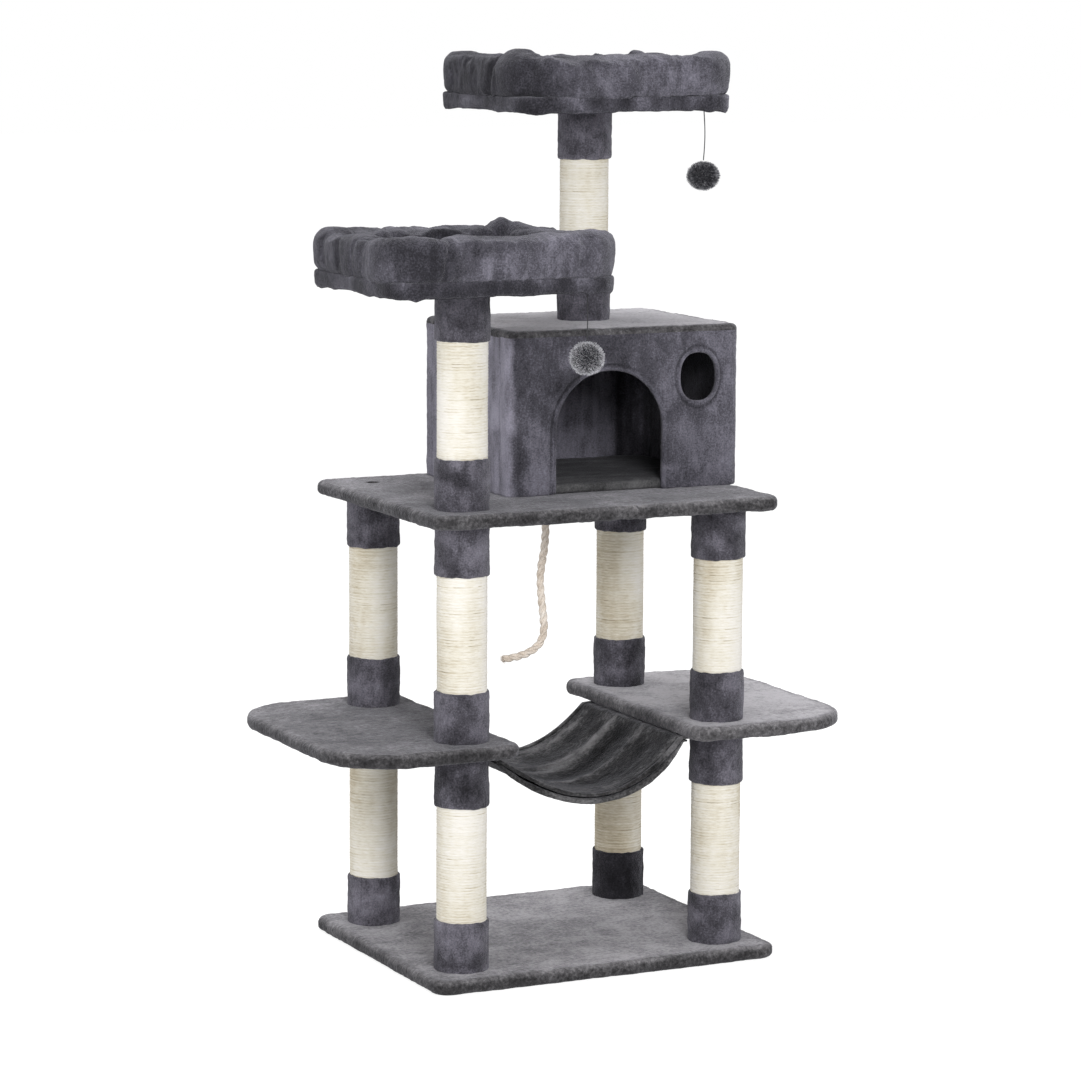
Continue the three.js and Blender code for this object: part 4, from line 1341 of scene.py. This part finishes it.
# The last table of each rim is its painted light and shade round it, darkest on its left side.
make_bolster("lower_perch", 71, [
    (0.00, 62), (0.021, 63), (0.051, 65), (0.081, 68), (0.101, 69), (0.13, 71), (0.15, 69), (0.165, 65),
    (0.205, 61), (0.246, 58), (0.309, 56), (0.35, 62), (0.37, 66), (0.385, 70), (0.397, 64), (0.41, 58),
    (0.457, 57), (0.508, 57), (0.558, 57), (0.608, 58), (0.63, 63), (0.647, 65), (0.663, 63), (0.677, 55),
    (0.711, 57), (0.745, 61), (0.773, 60), (0.796, 55), (0.807, 54), (0.829, 59), (0.857, 65), (0.872, 67),
    (0.890, 65), (0.905, 61), (0.918, 63), (0.933, 65), (0.943, 66), (0.962, 64),
], [
    (0.804, 3.5, 0.02, 0.012), (0.676, 3, 0.012, -0.01), (0.730, 1, 0.01, 0.012), (0.907, 1.5, 0.006, 0.01),
    (0.105, 3, 0.010, 0.01), (0.372, 6, 0.008, 0), (0.402, 7, 0.008, 0), (0.63, 3, 0.01, 0),
    (0.55, 4, 0.010, 0.01), (0.25, 4, 0.012, 0.01), (0.773, 1.5, 0.009, 0.02),
], [(0.0, 0.3), (0.1, 0.5), (0.2, 0.6), (0.36, 1.0), (0.5, 0.7), (0.66, 0.7), (0.84, 0.8), (0.9, 0.5)], [
    (0.0, 0.1), (0.08, 0.2), (0.13, 0.1), (0.4, -0.3), (0.6, -0.3), (0.66, -0.1), (0.70, -0.7),
    (0.77, -1.3), (0.80, -0.6), (0.82, 0.1), (0.85, -0.4), (0.885, -0.7), (0.93, -0.5), (0.96, 0.1),
])
make_bolster("upper_perch", 72, [
    (0.00, 64), (0.035, 65), (0.051, 64), (0.07, 62), (0.086, 63), (0.102, 64), (0.113, 68), (0.136, 70),
    (0.15, 69), (0.17, 63), (0.2, 58), (0.3, 55), (0.352, 58), (0.359, 63), (0.37, 58), (0.42, 54),
    (0.5, 53), (0.6, 56), (0.615, 59), (0.627, 62), (0.65, 64), (0.67, 62), (0.722, 60), (0.755, 61),
    (0.788, 60), (0.802, 60), (0.814, 68), (0.828, 72), (0.845, 71), (0.857, 66), (0.865, 63), (0.875, 60),
    (0.91, 61), (0.941, 62), (0.973, 63),
], [
    (0.800, 5, 0.009, 0.03), (0.866, 5, 0.007, 0.012), (0.07, 2, 0.012, 0.0), (0.35, 5, 0.008, 0),
    (0.372, 5, 0.008, 0), (0.645, 3, 0.009, 0), (0.52, 4, 0.010, 0.01), (0.25, 4, 0.012, 0.01),
], [(0.0, 0.3), (0.1, 0.5), (0.2, 0.7), (0.36, 1.1), (0.5, 0.7), (0.66, 0.6), (0.80, 0.5), (0.88, 0.4)], [
    (0.0, 0.1), (0.1, 0.1), (0.2, -0.2), (0.6, -0.6), (0.68, -1.2), (0.80, -1.2), (0.85, -0.9),
    (0.875, -1.1), (0.90, 0.0),
])

# ---------------------------------------------------------------- hammock

HAMMOCK_TAB = 20 * MM  # how much of each end lies under its platform
HAMMOCK_HANDLES = np.array([(58, -30), (-136, -156)]) * MM  # of its curve, from its two ends
HAMMOCK_THICK = 3.4 * MM
HAMMOCK_FOLD = 3.5 * MM  # radius of the turn at its left end
HAMMOCK_COLUMNS, HAMMOCK_ROWS = 130, 84  # rows between the two hems
HAMMOCK_TAPER = 9 * MM  # how much further left its right end lies at the rear
HAMMOCK_TAUT, HAMMOCK_BOW = 0.11, 0.07  # how much less it dips at the rear, and more between
HEM_WIDE, HEM_ROW = 24, 1.2  # in mm, the part near an edge with finer rows and their spacing
HEM_MIDDLE, HEM_SEAM = 5 * MM, 12.5 * MM  # in from the front or rear edge
HEM_THICK, SEAM_THIN = 3.0 * MM, 1.2 * MM
BACKING_THICK, BACKING_HEM = 2.6 * MM, 7 * MM  # the backing's hem is that much thicker
BACKING_DROP, BACKING_DROOP = 4.5 * MM, 6.5 * MM  # how far below the cloth, and more near a hem
# Folds along the span: where they lie from front to back, their slope, depth and half width.
HAMMOCK_FOLDS = [
    (0.64, 0.00, 3.0, 0.030), (0.60, 0.30, 3.2, 0.035), (0.47, 0.22, -3.5, 0.060), (0.35, 0.10, 2.2, 0.035),
    (0.22, -0.15, -2.0, 0.060), (0.80, 0.10, -1.6, 0.050), (0.90, 0.0, 1.2, 0.03),
]


def hammock_line(low, high, share):
    """The middle line of the cloth in X and Z, at a share of the way from front to back."""
    left, right, level = low[0], high[0] - HAMMOCK_TAB, high[2] - HAMMOCK_THICK * 0.6
    start = np.array([left + HAMMOCK_FOLD, level - 2 * HAMMOCK_FOLD])
    end = np.array([right - HAMMOCK_TAPER * share, level - 1 * MM])
    first, second = HAMMOCK_HANDLES
    t = np.linspace(0, 1, 200)[:, None]
    hang = ((1 - t) ** 3 * start + 3 * (1 - t) ** 2 * t * (start + first)
            + 3 * (1 - t) * t ** 2 * (end + second) + t ** 3 * end)
    dip = level - hang[:, 1]
    bow = HAMMOCK_BOW * math.sin(math.pi * share)
    hang[:, 1] = level - dip * (1 - HAMMOCK_TAUT * share + bow)
    turn = np.linspace(QUARTER, math.pi * 1.45, 12)[1:]
    fold = np.stack([left + HAMMOCK_FOLD * (1 + np.cos(turn)),
                     level - HAMMOCK_FOLD * (1 - np.sin(turn))], axis=1)
    ends = [(left + HAMMOCK_TAB, left + HAMMOCK_FOLD), (right + 3 * MM, right + HAMMOCK_TAB)]
    tabs = [np.column_stack([np.linspace(*span, 6), np.full(6, level)]) for span in ends]
    return np.vstack([tabs[0], fold, hang[3:], tabs[1]])


def layer(middle, thick):
    """Points and faces of a closed cloth layer about a middle grid of points."""
    rows, columns = middle.shape[:2]
    middle = middle.reshape(-1, 3)
    faces = grid_faces(rows, columns)
    away = normals_of(middle, faces) * thick.reshape(-1, 1) / 2
    size, loop = len(middle), border(rows, columns)
    side = np.stack([loop, loop + size, np.roll(loop, -1) + size, np.roll(loop, -1)], axis=1)
    return np.vstack([middle + away, middle - away]), np.vstack([faces, faces[:, ::-1] + size, side])


def hammock_grid(low, high, across):
    """The middle of the cloth before its folds, in rows at those distances from its front."""
    middle = []
    for distance in across:
        line = hammock_line(low, high, distance / (high[1] - low[1]))
        reach = reach_along(line)
        line = resampled(line, reach, np.linspace(0, reach[-1], HAMMOCK_COLUMNS))
        middle.append(np.insert(line, 1, low[1] + distance, axis=1))
    return np.array(middle)


def make_hammock():
    """Two layers of cloth: the one that is lain on, and the backing that droops a little below."""
    low, high, _, _ = box("hammock")
    depth, wide = high[1] - low[1], HEM_WIDE * MM
    hem = np.arange(0, HEM_WIDE, HEM_ROW) * MM
    between = np.linspace(wide, depth - wide, HAMMOCK_ROWS)
    across = np.concatenate([hem, between, depth - hem[::-1]])
    middle = hammock_grid(low, high, across)
    u = np.linspace(0, 1, HAMMOCK_COLUMNS)[None, :]
    v = (across / depth)[:, None]
    free = rise(0.12, 0.3, u) * rise(0.97, 0.86, u)
    ridges = sum(height * bell(v - place - slope * np.minimum(u - 0.72, 0.08), spread)
                 for place, slope, height, spread in HAMMOCK_FOLDS) * rise(0.3, 0.6, u)
    middle[..., 2] += ridges * MM * free
    edge = np.minimum(across, depth - across)[:, None] + 0 * u
    hemmed = HEM_THICK * bell(edge - HEM_MIDDLE, 3.6 * MM)
    hemmed -= SEAM_THIN * bell(edge - HEM_SEAM, 1.6 * MM)
    points, faces = layer(middle, HAMMOCK_THICK + hemmed)
    points = fluffed(points, faces, CLOTH_NAP, 81)
    # Painted light on the tops of the folds and on the hem's ridge, and painted shade in the seam beside
    # it.
    creased = 0.5 * bell(edge - HEM_MIDDLE, 3.5 * MM) - 0.8 * bell(edge - HEM_SEAM, 2.2 * MM)
    lie = np.tile((0.42 * ridges * free + creased).ravel(), 2) - 0.1
    lie += 0.6 * lumps(points, (0.05, 0.03, 0.05), 83) + 0.7 * lumps(points, (0.012, 0.006, 0.012), 86)
    cloth = piece("hammock_sheet", points, faces, HAMMOCK_CLOTH, "hammock_cloth",
                  replaces=["hammock"], lie=lie)

    hang = rise(0.05, 0.2, u) * rise(0.99, 0.82, u)
    flat = middle.reshape(-1, 3)
    loose = 1 + 0.3 * lumps(flat, 0.05, 85).reshape(edge.shape)
    drop = BACKING_DROP + hang * BACKING_DROOP * bell(edge, 30 * MM) * loose
    below = middle - normals_of(flat, grid_faces(*edge.shape)).reshape(middle.shape) * drop[..., None]
    inner = slice(9, HAMMOCK_COLUMNS - 3)
    thick = BACKING_THICK + BACKING_HEM * hang * bell(edge - HEM_MIDDLE, 5 * MM)
    points, faces = layer(below[:, inner], thick[:, inner])
    points = fluffed(points, faces, CLOTH_NAP, 82)
    backing = piece("hammock_backing", points, faces, HAMMOCK_CLOTH, "hammock_cloth",
                    lie=0.2 + 0.3 * lumps(points, 0.04, 84))


make_hammock()

# ---------------------------------------------------------------- fasteners

for name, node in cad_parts.items():
    if "_bolt" in name or "_stud" in name:
        node.data.materials.clear()
        node.data.materials.append(ZINC)


# A screw with its washer, as (radius, height) in mm from the face it is driven into.
SCREW_PROFILE = [(0.1, 14), (1.8, 14), (1.9, 0.4), (8.0, 0.4), (8.0, -0.9), (4.6, -0.9),
                 (4.5, -2.0), (3.4, -3.1), (1.6, -3.5), (0.1, -3.5)]


def copy_bolt(name, node, move):
    """A bolt like another one, at another corner."""
    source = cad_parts[node]
    points = np.array([source.matrix_world @ v.co for v in source.data.vertices]) + move
    piece(name, points, [list(face.vertices) for face in source.data.polygons], ZINC, "steel")


def make_screw(name, x, y, face):
    """A round-headed screw with its washer, driven up into a face from below."""
    points, faces = revolved(np.array(SCREW_PROFILE) * MM, 28)
    piece(name, points + [x, y, face], faces, ZINC, "steel")


copy_bolt("main_platform_bolt_rear_right", "main_platform_bolt_rear_left",
          [-2 * box("main_platform_bolt_rear_left")[2][0], 0, 0])
tab_low, tab_high = box("hammock")[:2]
for i, share in enumerate((0.15, 0.5, 0.85)):
    screw_y = tab_low[1] + (tab_high[1] - tab_low[1]) * share
    under_tab = tab_high[2] - 1.1 * HAMMOCK_THICK
    make_screw(f"hammock_screw_left_{i + 1}", tab_low[0] + 0.55 * HAMMOCK_TAB, screw_y, under_tab)
    make_screw(f"hammock_screw_right_{i + 1}", tab_high[0] - 0.5 * HAMMOCK_TAB, screw_y, under_tab)

# ---------------------------------------------------------------- floor and light

FLOOR_REACH, FLOOR_DROP = 30, 0.5 * MM  # it lies that much below the object's feet
FLOOR_GREY, SHADOW_GREY, FLOOR_GLOW = (0.8, 0.8, 0.8, 1), (0.3, 0.3, 0.3, 1), 0.86
WORLD_STRENGTH = 0.60
LAMPS = {  # place, aim, size and watts
    "key": ((-1.15, -4.6, 2.5), (0, 0, 0.75), 1.5, 124),
    "overhead": ((0.2, 0.6, 4.2), (0, 0, 0.7), 2.6, 105),
    "left_fill": ((-4.4, -0.9, 1.4), (0, 0, 0.8), 2.2, 52),
    "right_fill": ((3.4, -2.4, 1.6), (0, 0, 0.7), 2.2, 12),
}


def show(tree, lit, seen, output):
    """Shows the shader seen to the camera, mirrors and glass, and lit to everything else."""
    path = add_node(tree, "LightPath").outputs
    rays = path["Is Camera Ray"]
    for name in ("Is Glossy Ray", "Is Transmission Ray"):
        rays = add_node(tree, "Math", {0: rays, 1: path[name]}, operation="MAXIMUM").outputs[0]
    mix = add_node(tree, "MixShader", {0: rays, 1: lit.outputs[0], 2: seen.outputs[0]})
    add_node(tree, output, {"Surface": mix.outputs[0]})


def make_stage():
    reach = FLOOR_REACH
    floor = add_mesh("floor", [(-reach, -reach, 0), (reach, -reach, 0), (reach, reach, 0),
                               (-reach, reach, 0)], [(0, 1, 2, 3)])
    floor.location.z = -FLOOR_DROP
    material = bpy.data.materials.new("floor")
    material.use_nodes = True
    tree = material.node_tree
    tree.nodes.clear()
    white = add_node(tree, "Emission", {"Strength": FLOOR_GLOW})
    faint = add_node(tree, "BsdfDiffuse", {"Color": SHADOW_GREY})
    both = add_node(tree, "AddShader", {0: faint.outputs[0], 1: white.outputs[0]})
    show(tree, add_node(tree, "BsdfDiffuse", {"Color": FLOOR_GREY}), both, "OutputMaterial")
    floor.data.materials.append(material)


def make_world():
    world = bpy.data.worlds.new("studio")
    bpy.context.scene.world = world
    world.use_nodes = True
    tree = world.node_tree
    tree.nodes.clear()
    soft, white = (add_node(tree, "Background", {"Color": (1, 1, 1, 1), "Strength": strength})
                   for strength in (WORLD_STRENGTH, 1.0))
    show(tree, soft, white, "OutputWorld")


def make_lamp(name, place, aim, size, watts):
    data = bpy.data.lights.new(name, "AREA")
    data.shape = "DISK"
    data.size = size
    data.energy = watts
    lamp = add_object(name, data)
    lamp.location = place
    lamp.rotation_euler = (Vector(aim) - Vector(place)).to_track_quat("-Z", "Y").to_euler()


make_stage()
make_world()
for name, settings in LAMPS.items():
    make_lamp(name, *settings)
bpy.context.scene.view_settings.view_transform = "Standard"
